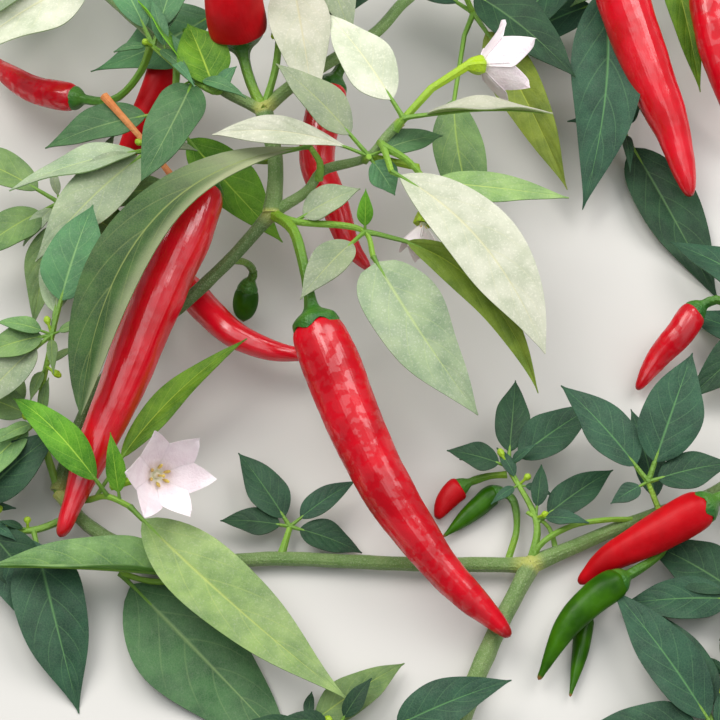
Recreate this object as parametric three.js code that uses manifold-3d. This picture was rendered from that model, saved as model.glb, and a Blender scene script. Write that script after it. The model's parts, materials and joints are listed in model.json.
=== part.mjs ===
// A cut branch of a chilli pepper plant, laid down on a table: forking stems, leaf sprays,
// hanging red and green fruits and white flowers. Millimetres, +Z up.
//
// Every place on the branch is given as it is seen by someone who looks down on the table:
// [across, up, height], where across and up are read in the picture and height is above the table.
import * as THREE from 'three';
import { mergeVertices } from 'three/addons/utils/BufferGeometryUtils.js';
import Module from 'manifold-3d';

// The line of sight: its dip below the horizon, its length, and the height that it aims at.
const SIGHT_DIP = THREE.MathUtils.degToRad(60);
const SIGHT_LENGTH = 600;
const SIGHT_HEIGHT = 30;
const UP = new THREE.Vector3(0, 0, 1);

// Pieces of the plant that meet stay this far apart, and have no edges shorter than the second value.
const CLEARANCE = 0.3;
const SHORTEST_EDGE = 0.02;

// Stems and twigs.
const STEM_SIDES = 8;
const TWIG_SIDES = 4;
const TWIG_FOOT_RADIUS = 1.3;
const TWIG_TIP_RADIUS = 1.0;
const LONGEST_STEP = 22;

// Leaves: round at the root, drawn out at the tip, thickest at the midrib.
const LEAF_ROOT_POWER = 0.75;
const LEAF_TIP_POWER = 1.3;
const LEAF_RINGS = [0.12, 0.34, 0.6, 0.84];
const TUFT_LEAF_RINGS = [0.24, 0.62];
const LEAF_HALF_THICKNESS = 0.6;
const LEAF_FOLD = 14;
const LEAF_ARCH = 0.08;
const PETIOLE_RADIUS = 0.9;

// Fruits: [share of the length, share of the widest radius], from the calyx to the tip.
const FRUIT_PROFILE = [
  [0, 0.6], [0.03, 0.88], [0.09, 1], [0.3, 0.98], [0.52, 0.87], [0.72, 0.68], [0.88, 0.44], [0.97, 0.2],
];
const YOUNG_FRUIT_PROFILE = [[0, 0.4], [0.12, 0.85], [0.35, 1], [0.65, 0.92], [0.88, 0.55]];
const FRUIT_SIDES = 8;
const STALK_RADIUS = 1.9;
const CALYX_LENGTH = 5;
const CALYX_SHARE = 0.78;

// Flowers.
const PETAL_THICKNESS = 0.9;
const FLOWER_CALYX_LENGTH = 4;

const COLOURS = {
  stem: 0x7d9a4e, leaf: 0x5f8a58, red: 0xd0141c, green: 0x3f8a1c, stalk: 0x4f8a2a, petal: 0xf6f0f2,
};

// The stems, from foot to tip. Each fork is a named place.
const CUT_END = [27, -117, 2.8];
const LOW_FORK = [51, -61.5, 6];
const RIGHT_END = [126, -10, 12];
const LEFT_NODE = [-90.5, -39.5, 8];
const MIDDLE_NODE = [-26.4, 44, 40];
const TOP_FORK = [-29, 75, 52];
const FRONT_NODE = [2.7, 61, 52];
const FLOWER_NODE = [12.3, 71.4, 57];
const TOP_RIGHT_NODE = [69.6, 121.5, 40];
const TOP_LEFT_END = [-80, 113, 36];

const STEMS = {
  main_stem: { line: [CUT_END, [37, -90, 4.6], LOW_FORK], foot: 2.9, tip: 2.5 },
  left_bough: {
    line: [LOW_FORK, [12, -61, 4.6], [-24, -59.5, 4.2], [-57, -60, 4.2], [-81, -50, 5.5], LEFT_NODE],
    foot: 2.2, tip: 2,
  },
  right_bough: {
    line: [LOW_FORK, [84, -48, 5], [104, -41, 5.5], [119, -30, 7.5], RIGHT_END], foot: 2.3, tip: 1.8,
  },
  rising_bough: {
    line: [LEFT_NODE, [-86, -25, 11], [-78, -8, 15], [-66, 6, 20], [-52.8, 17, 26], [-39, 30, 33],
      MIDDLE_NODE],
    foot: 2.2, tip: 2,
  },
  crown_stem: { line: [MIDDLE_NODE, [-25.5, 60, 46], TOP_FORK], foot: 2.5, tip: 2.3 },
  crown_left_bough: {
    line: [TOP_FORK, [-41, 81, 50], [-54.6, 90.6, 46], [-69, 103, 41], TOP_LEFT_END], foot: 1.8, tip: 1.3,
  },
  crown_right_bough: {
    line: [TOP_FORK, [-20, 82.5, 50], [-8, 90, 48], [4.5, 98, 46], [14, 108, 44], [26, 116, 42],
      [48, 121, 41], TOP_RIGHT_NODE],
    foot: 2.1, tip: 1.7,
  },
  front_shoot: {
    line: [MIDDLE_NODE, [-15.6, 51, 43], [-11.5, 56.5, 46], FRONT_NODE, [8, 67, 55], FLOWER_NODE],
    foot: 1.7, tip: 1.3,
  },
};

// The fruits: the stalk runs from its stem to the calyx, the body from the calyx to the tip.
const RED_FRUITS = {
  middle_chilli: {
    girth: 17, stalk: [MIDDLE_NODE, [-20, 39, 45], [-16.5, 27, 46]],
    body: [[-13.5, 12, 43], [-4, -12.5, 36], [8, -38.5, 27], [23, -60.5, 19], [45, -83, 10.5]],
  },
  left_chilli: {
    girth: 17, stalk: [[-27.6, 60.6, 46], [-37, 60, 46]],
    body: [[-46, 53.5, 43.5], [-53.5, 36, 40.5], [-61.5, 18, 36.5], [-72, -9, 25.5], [-80, -27, 18.5],
      [-90, -53, 10]],
  },
  upright_chilli: {
    girth: 18.5, stalk: [TOP_FORK, [-33, 84, 53]],
    body: [[-36, 96, 57], [-37.5, 106, 68], [-38.5, 122, 81], [-38, 140, 88.5]],
  },
  top_right_chilli: {
    girth: 17, stalk: [TOP_RIGHT_NODE, [73.5, 127, 45]],
    body: [[76, 119, 43], [79, 108, 38], [87.6, 84, 27], [94.5, 66, 17.5], [99, 49, 10]],
  },
  corner_chilli: {
    girth: 14, stalk: [[97, 124, 29.5], [101, 121, 34]],
    body: [[104, 114, 32], [106, 100, 27], [110, 84, 19], [116, 66, 8]],
  },
  hidden_chilli: {
    girth: 12, stalk: [[-9, 89.5, 47], [-4, 92, 42]],
    body: [[-8, 83, 36], [-11, 73, 33], [-12.6, 58.5, 27], [-7.5, 46.5, 21], [-3, 34.5, 15], [3, 27, 10]],
  },
  right_chilli: {
    girth: 9, stalk: [RIGHT_END, [118, 8, 17], [108, 18, 18]],
    body: [[101, 15, 15], [96, 8, 13], [89, 0, 8], [83, -9, 4.5]],
  },
  low_right_chilli: {
    girth: 12, stalk: [[113, -36, 6.5], [113, -38, 17]],
    body: [[104, -43.5, 20], [96, -48, 17], [84, -54.5, 13.5], [74, -60, 10], [65.5, -67, 6]],
  },
};

// The small and the green ones are one piece with their stalk.
const SMALL_RED_FRUITS = {
  rear_chilli: {
    girth: 9.5, stalk: [[-64, 8, 21], [-65, 19, 18], [-61, 26, 17]],
    body: [[-55, 24, 17], [-46, 15, 17], [-37.5, 7.5, 17], [-27, 3, 15], [-12, 1, 12]],
  },
  far_left_chilli: {
    girth: 9.6, stalk: [[-62, 96.7, 43.6], [-66, 86, 34], [-74, 78, 26]],
    body: [[-85, 78.5, 22], [-96, 80.5, 19], [-104, 84.5, 15], [-112, 91, 10]],
  },
  shaded_chilli: {
    girth: 10, stalk: [[-55, 91, 45], [-51, 98, 38]],
    body: [[-55.5, 97, 30], [-61, 82, 24], [-68, 66, 15], [-76, 50, 7]],
  },
  small_chilli: {
    girth: 7, stalk: [[44.1, -34.4, 8.8], [38, -35, 8]],
    body: [[30.3, -38, 5.5], [26, -42, 4.5], [23, -47.5, 3.6]],
  },
};
const GREEN_FRUITS = {
  green_chilli: {
    girth: 9.5, stalk: [[95, -44.5, 5], [93, -51, 5.5], [90, -58, 9]],
    body: [[78, -66, 13], [70, -71.5, 12.5], [62, -80, 10.5], [53.5, -96, 5]],
  },
  hanging_green_chilli: {
    girth: 5.6, stalk: [[80, -49.5, 5], [77, -60, 4], [72, -70, 3.6]],
    body: [[68, -77, 3.2], [66, -88, 3], [63, -101, 2.8]],
  },
  small_green_chilli: {
    girth: 6.5, stalk: [[44, -61.3, 5.8], [47, -50, 5], [45.5, -41.5, 5]],
    body: [[41, -40, 4.5], [35, -44.5, 4], [25, -53, 3.4]],
  },
  young_chilli: {
    girth: 8, young: true, stalk: [[-39, 30, 33], [-34, 29, 25], [-32, 26, 18]],
    body: [[-33.5, 22, 13], [-34.5, 17, 9], [-35, 11.5, 6]],
  },
};

// The flowers: a star of petals with its heart at a place and facing along a direction. One petal points
// away from the eye. The cup says how far the petals stand forward: 0 for a flat star, 1 for a bell.
const FLOWERS = {
  top_flower: {
    petals: 5, span: 36, cup: 0.75, stalk: [FLOWER_NODE, [22, 82, 62], [28, 87, 64]],
    heart: [36, 88.5, 63], faces: [30, 1, -15],
  },
  left_flower: {
    petals: 6, span: 39, cup: 0.85, stalk: [[-74.5, -38, 18], [-71.5, -37, 20]], heart: [-61.5, -34.5, 24],
    faces: [9, -1, 20],
  },
  nodding_flower: {
    petals: 5, span: 20, cup: 1.1, stalk: [FRONT_NODE, [12, 61, 51], [21, 53, 46]],
    heart: [19, 41, 38], faces: [-3, -16, -4],
  },
};

// The leaf sprays. Each has a twig that grows from a stem, and leaves at nodes on the twig: heading in
// the picture in degrees, lengths of stalk and blade, width, and height of the tip. A tuft is a ring of
// leaves at the end of a twig, turned by even steps with a seeded play.
const SPRAYS = {
  front_spray: {
    twigs: [[[1.5, 60, 51.5], [2.7, 61, 55.5]]],
    leaves: [
      { node: [2.7, 61, 54.5], heading: 135, petiole: 8.5, blade: 31, width: 13, tip: 68 },
      { node: [2.7, 61, 54.5], heading: 172, petiole: 6, blade: 41.5, width: 9.5, tip: 63, roll: -12,
        bend: -0.045, root: 1.6 },
      { node: [2.7, 61, 54.5], heading: 16, petiole: 3, blade: 20, width: 10, tip: 47 },
      { node: [2.7, 61, 54.5], heading: -56, petiole: 2, blade: 12, width: 10, tip: 48 },
    ],
  },
  pale_leaf_spray: {
    twigs: [[[6, 65, 54], [7, 64, 57.5], [9.5, 56.5, 57]], [[7, 64, 57.5], [14, 60, 56.5], [20, 53.5, 52]]],
    leaves: [
      { node: [9.5, 56.5, 57], heading: -49.8, petiole: 2.5, blade: 69, width: 23, tip: 36, bend: 0.07,
        root: 0.9, end: 1.1 },
      { node: [20, 53.5, 52], heading: -6.4, petiole: 2, blade: 41, width: 11, tip: 46, arch: 0.02 },
    ],
  },
  long_leaf_spray: {
    twigs: [[[-12.5, 54, 45], [-12, 59, 49.5], [-15, 64, 52]]],
    leaves: [
      { node: [-15, 64, 52], heading: 229.5, petiole: 2, blade: 104, width: 20, tip: 36, bend: -0.155,
        arch: 0.13, root: 1.2, end: 0.9, fold: 22, roll: 10 },
    ],
  },
  flower_spray: {
    twigs: [[[10.5, 69, 56], [13.2, 73, 59.5]]],
    leaves: [
      { node: [13, 72.5, 59], heading: 126, petiole: 6, blade: 33, width: 17, tip: 67 },
      { node: [13, 72.5, 59], heading: 2, petiole: 7, blade: 38, width: 16, tip: 60, roll: -42, fold: 20 },
    ],
  },
  middle_spray: {
    twigs: [[MIDDLE_NODE, [-19.5, 41.5, 42.5], [1.5, 38.4, 45], [4, 31, 43.5]]],
    leaves: [
      { node: [1.5, 38.4, 45], heading: 89, petiole: 2, blade: 11, width: 5, tip: 56 },
      { node: [4, 31, 43.5], heading: -56.5, petiole: 2, blade: 55, width: 24, tip: 24, bend: -0.04,
        root: 0.5, end: 1.1 },
      { node: [1.5, 38.4, 45], heading: 226, petiole: 6, blade: 22, width: 12, tip: 49 },
      { node: [1.5, 38.4, 45], heading: -43, petiole: 12, blade: 59, width: 13, tip: 25, bend: 0.14,
        fold: 35, roll: 30 },
      { node: [-19.5, 41.5, 42.5], heading: 27, petiole: 3, blade: 19, width: 11, tip: 49 },
    ],
  },
  left_flower_spray: {
    twigs: [[LEFT_NODE, [-83, -42, 9.5], [-75.6, -41, 16], [-69, -44, 16]]],
    leaves: [
      { node: [-75.6, -41, 16], heading: 134, petiole: 6, blade: 35, width: 11, tip: 27, arch: 0.25 },
      { node: [-72, -42.5, 16], heading: 98, petiole: 3, blade: 18, width: 6, tip: 30 },
      { node: [-79.3, -41.5, 12.7], heading: 46.6, petiole: 14, blade: 52, width: 9, tip: 28, arch: 0.02,
        bend: 0.06 },
      { node: [-69, -44, 16], heading: -41.5, petiole: 6, blade: 82, width: 22, tip: 10, arch: 0.05,
        bend: -0.03 },
    ],
  },
  left_low_spray: {
    twigs: [[[-50, -60, 4.3], [-50, -64.5, 8], [-61, -66.5, 6.5], [-72, -64, 4.5]]],
    leaves: [
      { node: [-50, -64.5, 8], heading: 177.5, petiole: 4, blade: 58, width: 22, tip: 14, arch: 0.04,
        fold: 50, roll: 25 },
      { node: [-72, -64, 4.5], heading: -46, petiole: 5, blade: 72, width: 30, tip: -0.4, arch: 0.02,
        fold: 4 },
      { node: [-72, -64, 4.5], heading: 25, petiole: 4, blade: 24, width: 11, tip: 1 },
    ],
  },
  left_edge_spray: {
    twigs: [[LEFT_NODE, [-96, -18, 20], [-92.4, 7.5, 34]]],
    leaves: [
      { node: [-92.4, 7.5, 34], heading: 72.5, petiole: 10, blade: 31, width: 19, tip: 44 },
      { node: [-92.4, 7.5, 34], heading: -164, petiole: 3, blade: 20, width: 11, tip: 34 },
      { node: [-96, -18, 20], heading: 160, petiole: 4, blade: 26, width: 12, tip: 22 },
    ],
    tufts: [
      { node: [-92.4, 7.5, 34], count: 3, first: 110, blade: 30, rise: -6, seed: 11 },
      { node: [-96, -18, 20], count: 4, first: 40, blade: 28, rise: -4, seed: 12 },
    ],
  },
  left_shoot_spray: {
    twigs: [[[-85, -46, 7], [-98, -51, 8], [-108, -50, 9], [-117, -45, 11]]],
    leaves: [
      { node: [-117, -45, 11], heading: 41.6, petiole: 4, blade: 32, width: 17, tip: 22 },
      { node: [-108, -50, 9], heading: -64, petiole: 5, blade: 34, width: 20, tip: -0.4 },
      { node: [-98, -51, 8], heading: -76, petiole: 5, blade: 52, width: 22, tip: -0.4 },
    ],
    tufts: [{ node: [-117, -45, 11], count: 4, first: 150, blade: 34, rise: -6, seed: 21 }],
  },
  shoulder_spray: {
    twigs: [[[-54.6, 90.6, 46], [-56, 78, 40], [-63, 63, 37], [-74, 57, 27], [-90, 47, 20]]],
    leaves: [
      { node: [-63, 63, 37], heading: -135.8, petiole: 4, blade: 44, width: 20, tip: 33 },
      { node: [-63, 63, 37], heading: 196, petiole: 4, blade: 40, width: 15, tip: 36, roll: 25 },
      { node: [-58, 74, 39], heading: 196, petiole: 6, blade: 32, width: 14, tip: 30 },
      { node: [-58, 74, 39], heading: -48, petiole: 10, blade: 42, width: 18, tip: 22, arch: -0.03 },
    ],
    tufts: [{ node: [-90, 47, 20], count: 6, first: 20, blade: 30, rise: -2, seed: 13 }],
  },
  crown_left_spray: {
    twigs: [[[-42, 81.5, 50], [-43.5, 80.5, 55], [-50, 84, 54.5], [-62, 94, 54]]],
    leaves: [
      { node: [-43.5, 80.5, 55], heading: 112, petiole: 2, blade: 20, width: 17, tip: 58 },
      { node: [-43.5, 80.5, 55], heading: 50, petiole: 2, blade: 8, width: 5, tip: 60 },
      { node: [-50, 84, 54.5], heading: -117.3, petiole: 2, blade: 32, width: 16.6, tip: 56, bend: 0.04,
        root: 0.65, end: 1 },
      { node: [-50, 84, 54.5], heading: 124.5, petiole: 3, blade: 26, width: 9, tip: 58, roll: 60 },
      { node: [-62, 94, 54], heading: 70, petiole: 5, blade: 28, width: 12, tip: 58 },
      { node: [-62, 94, 54], heading: 118, petiole: 5, blade: 30, width: 13, tip: 52 },
    ],
  },
  crown_end_spray: {
    twigs: [[TOP_LEFT_END, [-88, 120, 34], [-97, 130, 32]]],
    leaves: [
      { node: [-81, 114, 36], heading: -148, petiole: 3, blade: 44, width: 27, tip: 44 },
      { node: [-88, 120, 34], heading: 178, petiole: 6, blade: 44, width: 18, tip: -0.4 },
    ],
    tufts: [
      { node: [-97, 130, 32], count: 5, first: 20, blade: 38, rise: -4, seed: 31 },
      { node: [-88, 120, 34], count: 2, first: 80, blade: 34, rise: 12, seed: 32 },
    ],
  },
  crown_top_spray: {
    twigs: [[TOP_FORK, [-25.5, 87, 54], [-24, 100, 56], [-21.6, 120, 60], [-19, 134, 62]]],
    leaves: [
      { node: [-21.6, 120, 60], heading: -150.6, petiole: 28, blade: 40, width: 25, tip: 26, arch: -0.08,
        root: 1, end: 1.9 },
      { node: [-21.6, 120, 60], heading: -80, petiole: 8, blade: 39, width: 19, tip: 62 },
      { node: [-24, 100, 56], heading: 20, petiole: 8, blade: 30, width: 15, tip: 54 },
    ],
    tufts: [
      { node: [-19, 134, 62], count: 5, first: 70, blade: 40, rise: -4, seed: 41 },
      { node: [-24, 100, 56], count: 3, first: 130, blade: 28, rise: -10, seed: 42 },
    ],
  },
  rear_top_spray: {
    twigs: [[[26, 116, 42], [30, 112, 34], [34, 104, 26]]],
    leaves: [
      { node: [30, 112, 34], heading: -38, petiole: 6, blade: 38, width: 20, tip: 30 },
      { node: [34, 104, 26], heading: -62, petiole: 8, blade: 52, width: 16, tip: 14, roll: 25 },
      { node: [34, 104, 26], heading: -86, petiole: 30, blade: 44, width: 17, tip: 14, bend: -0.1 },
      { node: [30, 112, 34], heading: 80, petiole: 5, blade: 36, width: 16, tip: 44 },
      { node: [34, 104, 26], heading: 155, petiole: 5, blade: 32, width: 14, tip: 18 },
      { node: [34, 104, 26], heading: 55, petiole: 5, blade: 30, width: 13, tip: 22 },
    ],
  },
  hanging_spray: {
    twigs: [
      [[68, 121.5, 40], [70, 123, 30], [82, 125, 26], [98, 125, 27]],
      [[70, 123, 30], [75, 108, 18], [78, 88, 10], [79, 68.5, 5]],
    ],
    leaves: [
      { node: [70, 123, 30], heading: -92.4, petiole: 15, blade: 63, width: 25, tip: 10, bend: 0.06 },
      { node: [70, 123, 30], heading: -134, petiole: 7, blade: 38, width: 20, tip: 18 },
      { node: [91, 125, 26.5], heading: -76, petiole: 6, blade: 40, width: 11, tip: 12 },
      { node: [79, 68.5, 5], heading: -60.8, petiole: 6, blade: 52, width: 22, tip: -0.4, arch: 0.02 },
      { node: [75, 108, 18], heading: 205, petiole: 6, blade: 36, width: 17, tip: 3 },
    ],
    tufts: [{ node: [98, 125, 27], count: 5, first: 10, blade: 38, rise: -4, seed: 51 }],
  },
  right_spray: {
    twigs: [[[84, -48, 5], [90, -48, 11], [86.4, -36.6, 18]]],
    leaves: [
      { node: [86.4, -36.6, 18], heading: 132, petiole: 6, blade: 33, width: 15, tip: 26 },
      { node: [86.4, -36.6, 18], heading: 71, petiole: 6, blade: 35, width: 19, tip: 30 },
      { node: [86.4, -36.6, 18], heading: 12.7, petiole: 3, blade: 23, width: 12, tip: 21 },
      { node: [86.4, -36.6, 18], heading: 210, petiole: 3, blade: 10, width: 6, tip: 18 },
    ],
    tufts: [{ node: [90, -48, 11], count: 4, first: 10, blade: 26, rise: -4, seed: 53 }],
  },
  right_end_spray: {
    twigs: [[RIGHT_END, [129, 0, 13], [130, 14, 13]]],
    leaves: [
      { node: [129, 0, 13], heading: 156, petiole: 5, blade: 30, width: 14, tip: 2 },
      { node: [129, 0, 13], heading: -70, petiole: 5, blade: 36, width: 17, tip: -0.4 },
    ],
    tufts: [{ node: [130, 14, 13], count: 5, first: 10, blade: 36, rise: -3, seed: 61 }],
  },
  corner_spray: {
    twigs: [[[113, -36, 6.5], [116, -72, 6], [107, -112, 4]]],
    leaves: [
      { node: [107, -112, 4], heading: 126, petiole: 5, blade: 49, width: 17, tip: 12 },
      { node: [116, -72, 6], heading: 150, petiole: 5, blade: 30, width: 17, tip: 4 },
      { node: [116, -72, 6], heading: -70, petiole: 5, blade: 34, width: 16, tip: 14 },
    ],
    tufts: [
      { node: [107, -112, 4], count: 4, first: 200, blade: 34, rise: -3, seed: 71 },
      { node: [116, -72, 6], count: 4, first: 80, blade: 30, rise: 0, seed: 72 },
    ],
  },
  bottom_spray: {
    twigs: [[[30, -110, 4.2], [17, -114, 6], [8.4, -111, 8], [-16, -110, 5]]],
    leaves: [
      { node: [8.4, -111, 8], heading: 22, petiole: 3, blade: 37, width: 14, tip: 16 },
      { node: [-16, -110, 5], heading: 33, petiole: 3, blade: 32, width: 12, tip: 4 },
      { node: [-16, -110, 5], heading: 205, petiole: 3, blade: 28, width: 13, tip: -0.4 },
    ],
  },
  rear_spray: {
    twigs: [[LOW_FORK, [53, -49, 8.5], [44.4, -32, 11]]],
    leaves: [
      { node: [44.4, -32, 11], heading: 35, petiole: 4, blade: 28, width: 14, tip: 13 },
      { node: [44.4, -32, 11], heading: 85, petiole: 4, blade: 22, width: 11, tip: 12 },
      { node: [44.4, -32, 11], heading: 165, petiole: 3, blade: 16, width: 9, tip: 14 },
      { node: [53, -49, 8.5], heading: 35, petiole: 4, blade: 24, width: 11, tip: 8 },
    ],
  },
  low_spray: {
    twigs: [[[-24, -59.5, 4.2], [-21, -50, 6]]],
    leaves: [
      { node: [-21, -50, 6], heading: 125, petiole: 3, blade: 24, width: 12, tip: 10 },
      { node: [-21, -50, 6], heading: 35, petiole: 4, blade: 20, width: 8, tip: 9 },
      { node: [-21, -50, 6], heading: -20, petiole: 3, blade: 20, width: 10, tip: 3 },
      { node: [-21, -50, 6], heading: 175, petiole: 3, blade: 18, width: 9, tip: 6 },
    ],
  },
};

const wasm = await Module();
wasm.setup();

// The point of the branch that is seen at this place of the picture, at this height.
const EYE = new THREE.Vector3(
  0, -SIGHT_LENGTH * Math.cos(SIGHT_DIP), SIGHT_HEIGHT + SIGHT_LENGTH * Math.sin(SIGHT_DIP));
function seen([across, up, height]) {
  const inPicture = new THREE.Vector3(
    across, up * Math.sin(SIGHT_DIP), SIGHT_HEIGHT + up * Math.cos(SIGHT_DIP));
  return EYE.clone().lerp(inPicture, (EYE.z - height) / (EYE.z - inPicture.z));
}

const smoothLine = (points) => new THREE.CatmullRomCurve3(points, false, 'centripetal');

// A stretch of a line between two of its places.
class Stretch extends THREE.Curve {
  constructor(line, first, last) {
    super();
    Object.assign(this, { line, first, last });
  }

  getPoint(t, target = new THREE.Vector3()) {
    const place = THREE.MathUtils.lerp(this.first, this.last, t);
    return this.line.getPoint(place / (this.line.points.length - 1), target);
  }
}

// The solid inside a closed surface: double corners are joined, and the faces turned outwards.
function toSolid(geometry) {
  for (const name of ['normal', 'uv']) geometry.deleteAttribute(name);
  const merged = mergeVertices(geometry, 1e-3);
  const corners = merged.index.array;
  const triangles = [];
  for (let i = 0; i < corners.length; i += 3) {
    const [a, b, c] = corners.slice(i, i + 3);
    if (a !== b && b !== c && c !== a) triangles.push(a, b, c);
  }
  const wrap = () => new wasm.Manifold(new wasm.Mesh({
    numProp: 3, vertProperties: merged.attributes.position.array, triVerts: new Uint32Array(triangles),
  }));
  const solid = wrap();
  if (solid.volume() > 0) return solid;
  triangles.reverse();
  return wrap();
}

function toGeometry(solid) {
  const { vertProperties, triVerts } = solid.getMesh();
  const geometry = new THREE.BufferGeometry();
  geometry.setAttribute('position', new THREE.BufferAttribute(new Float32Array(vertProperties), 3));
  geometry.setIndex(new THREE.BufferAttribute(new Uint32Array(triVerts), 1));
  geometry.computeVertexNormals();
  return geometry;
}

// A body along a line, from rings of [share of the length, half width, half height]. The width lies
// level with the table, unless the body is rolled about its line, and can be folded up along it.
function bodyAlong(line, rings, { sides, grow = 0, roll = 0, fold = 0 }) {
  const turned = new THREE.LatheGeometry(
    rings.map(([, half], row) => new THREE.Vector2(half ? 1 : 0, row)), sides);
  const position = turned.attributes.position;
  const [first, last] = [rings[0][0], rings.at(-1)[0]];
  for (let i = 0; i < position.count; i += 1) {
    const [at, half, height = half] = rings[Math.round(position.getY(i))];
    const tangent = line.getTangentAt(at);
    const side = new THREE.Vector3().crossVectors(tangent, UP).normalize();
    const face = new THREE.Vector3().crossVectors(side, tangent);
    side.applyAxisAngle(tangent, roll);
    face.applyAxisAngle(tangent, roll);
    const past = grow * (half ? 1 : 3) * ((at >= last) - (at <= first));
    const sideways = position.getX(i) * (half + grow);
    const upwards = position.getZ(i) * (height + grow) + Math.abs(sideways) * Math.sin(fold);
    const point = line.getPointAt(at).addScaledVector(tangent, past)
      .addScaledVector(side, sideways * Math.cos(fold)).addScaledVector(face, upwards);
    position.setXYZ(i, point.x, point.y, point.z);
  }
  return toSolid(turned);
}

const withFlatEnds = (rings) => [[rings[0][0], 0], ...rings, [rings.at(-1)[0], 0]];
const withTip = (rings) => [[rings[0][0], 0], ...rings, [1, 0]];

// The shares of the length at which a line passes its places, with long steps halved.
function steps(line) {
  const fine = 24;
  const spans = line.points.length - 1;
  line.arcLengthDivisions = spans * fine;
  const lengths = line.getLengths();
  const shares = [0];
  for (let i = 1; i <= spans; i += 1) {
    const [from, to] = [shares.at(-1), lengths[i * fine] / lengths.at(-1)];
    if ((to - from) * lengths.at(-1) > LONGEST_STEP) shares.push((from + to) / 2);
    shares.push(to);
  }
  return shares;
}

// A limb tapers evenly from its foot to its tip.
function limb(places, foot, tip, sides) {
  const line = smoothLine(places.map(seen));
  const rings = steps(line).map((at) => [at, THREE.MathUtils.lerp(foot, tip, at)]);
  return (grow) => bodyAlong(line, withFlatEnds(rings), { sides, grow });
}

// The half width of a leaf blade along its length, as a share of the greatest.
function leafOutline(t, root, end) {
  const raw = (s) => s ** root * (1 - s) ** end;
  return raw(t) / raw(root / (root + end));
}

// The line of a leaf from its node to its tip, arched up and bent sideways by shares of its length.
function leafLine({ node, heading, petiole, blade, tip, bend = 0, arch = LEAF_ARCH }) {
  const turn = THREE.MathUtils.degToRad(heading);
  const reach = petiole + blade;
  const foot = seen(node);
  const end = seen([node[0] + reach * Math.cos(turn), node[1] + reach * Math.sin(turn), tip]);
  const chord = end.clone().sub(foot);
  const left = new THREE.Vector3(-chord.y, chord.x, 0).normalize();
  const middle = foot.clone().lerp(end, 0.5)
    .addScaledVector(left, 2 * bend * chord.length()).addScaledVector(UP, 2 * arch * chord.length());
  return new THREE.QuadraticBezierCurve3(foot, middle, end);
}

// A leaf is a slim stalk that widens into a blade, folded along its midrib and rolled about it.
function leaf(shape) {
  const {
    petiole, blade, width, roll = 0, fold = LEAF_FOLD, root = LEAF_ROOT_POWER, end = LEAF_TIP_POWER,
    bladeRings = LEAF_RINGS,
  } = shape;
  const line = leafLine(shape);
  const start = petiole / (petiole + blade);
  const thick = Math.max(LEAF_HALF_THICKNESS, line.getLength() / 150);
  const rings = [
    [0, PETIOLE_RADIUS], [start, PETIOLE_RADIUS * 0.8],
    ...bladeRings.map((t) => [
      THREE.MathUtils.lerp(start, 1, t), leafOutline(t, root, end) * width / 2, thick,
    ]),
  ];
  const [rollTurn, foldTurn] = [roll, fold].map(THREE.MathUtils.degToRad);
  return (grow) => bodyAlong(line, withTip(rings), { sides: 4, grow, roll: rollTurn, fold: foldTurn });
}

// A seeded run of numbers between 0 and 1.
function seeded(seed) {
  let state = seed;
  return () => {
    state = (state * 16807) % 2147483647;
    return state / 2147483647;
  };
}

// The leaves of a tuft, less those that would touch a stem or a fruit.
function tuft({ node, count, first, blade, rise, seed }, limbs) {
  const random = seeded(seed);
  const leaves = [];
  for (let i = 0; i < count; i += 1) {
    const shape = {
      node,
      heading: first + 360 * (i + 0.5 * (random() - 0.5)) / count,
      petiole: 4 + 4 * random(),
      blade: blade * (0.8 + 0.3 * random()),
      width: blade * (0.38 + 0.1 * random()),
      tip: Math.max(1, node[2] + rise + 10 * (random() - 0.5)),
      bladeRings: TUFT_LEAF_RINGS,
    };
    const points = leafLine(shape).getPoints(8).slice(3);
    const touches = points.some((point) => limbs.some(
      ({ place, radius }) => place.distanceTo(point) < radius + shape.width / 4));
    if (!touches) leaves.push(shape);
  }
  return leaves;
}

// Points down the middle of every stem and fruit, with the radius there.
function limbPoints() {
  const points = [];
  const stems = Object.values(STEMS).map(({ line, foot }) => ({ places: line, radius: foot }));
  const fruits = [RED_FRUITS, SMALL_RED_FRUITS, GREEN_FRUITS].flatMap((set) => Object.values(set))
    .map(({ body, girth }) => ({ places: body, radius: girth / 2 }));
  for (const { places, radius } of [...stems, ...fruits]) {
    for (const place of smoothLine(places.map(seen)).getSpacedPoints(24)) points.push({ place, radius });
  }
  return points;
}

// The stalk of a fruit, thinner on a small one, widens into the calyx, a cup that holds the shoulder.
function fruitStalk({ girth, stalk }, whole) {
  const thick = STALK_RADIUS * Math.min(1, girth / 22 + 0.3);
  const line = new Stretch(whole, 0, stalk.length);
  const cup = Math.min(0.5, CALYX_LENGTH / line.getLength());
  const rim = girth / 2 * CALYX_SHARE;
  const rings = [[0, thick * 0.8], [1 - cup, thick], [1 - cup * 0.5, rim * 0.62], [1, rim]];
  return (grow) => bodyAlong(line, withFlatEnds(rings), { sides: FRUIT_SIDES, grow });
}

// The body of a fruit. Where it is one piece with its stalk, it starts a little inside the calyx.
function fruitBody({ girth, stalk, body, young }, whole, sunk = 0) {
  const line = new Stretch(whole, stalk.length - sunk, stalk.length + body.length - 1);
  const rings = (young ? YOUNG_FRUIT_PROFILE : FRUIT_PROFILE).map(([at, share]) => [at, share * girth / 2]);
  return (grow) => bodyAlong(line, withTip(rings), { sides: FRUIT_SIDES, grow });
}

// The heart of a flower and the way that it faces.
function facing({ heart, faces }) {
  const middle = seen(heart);
  const ahead = seen(heart.map((value, i) => value + faces[i])).sub(middle).normalize();
  const turn = new THREE.Quaternion().setFromUnitVectors(UP, ahead);
  const away = middle.clone().sub(EYE).applyQuaternion(turn.clone().invert());
  return { middle, ahead, turn, first: Math.atan2(away.y, away.x) };
}

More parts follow.
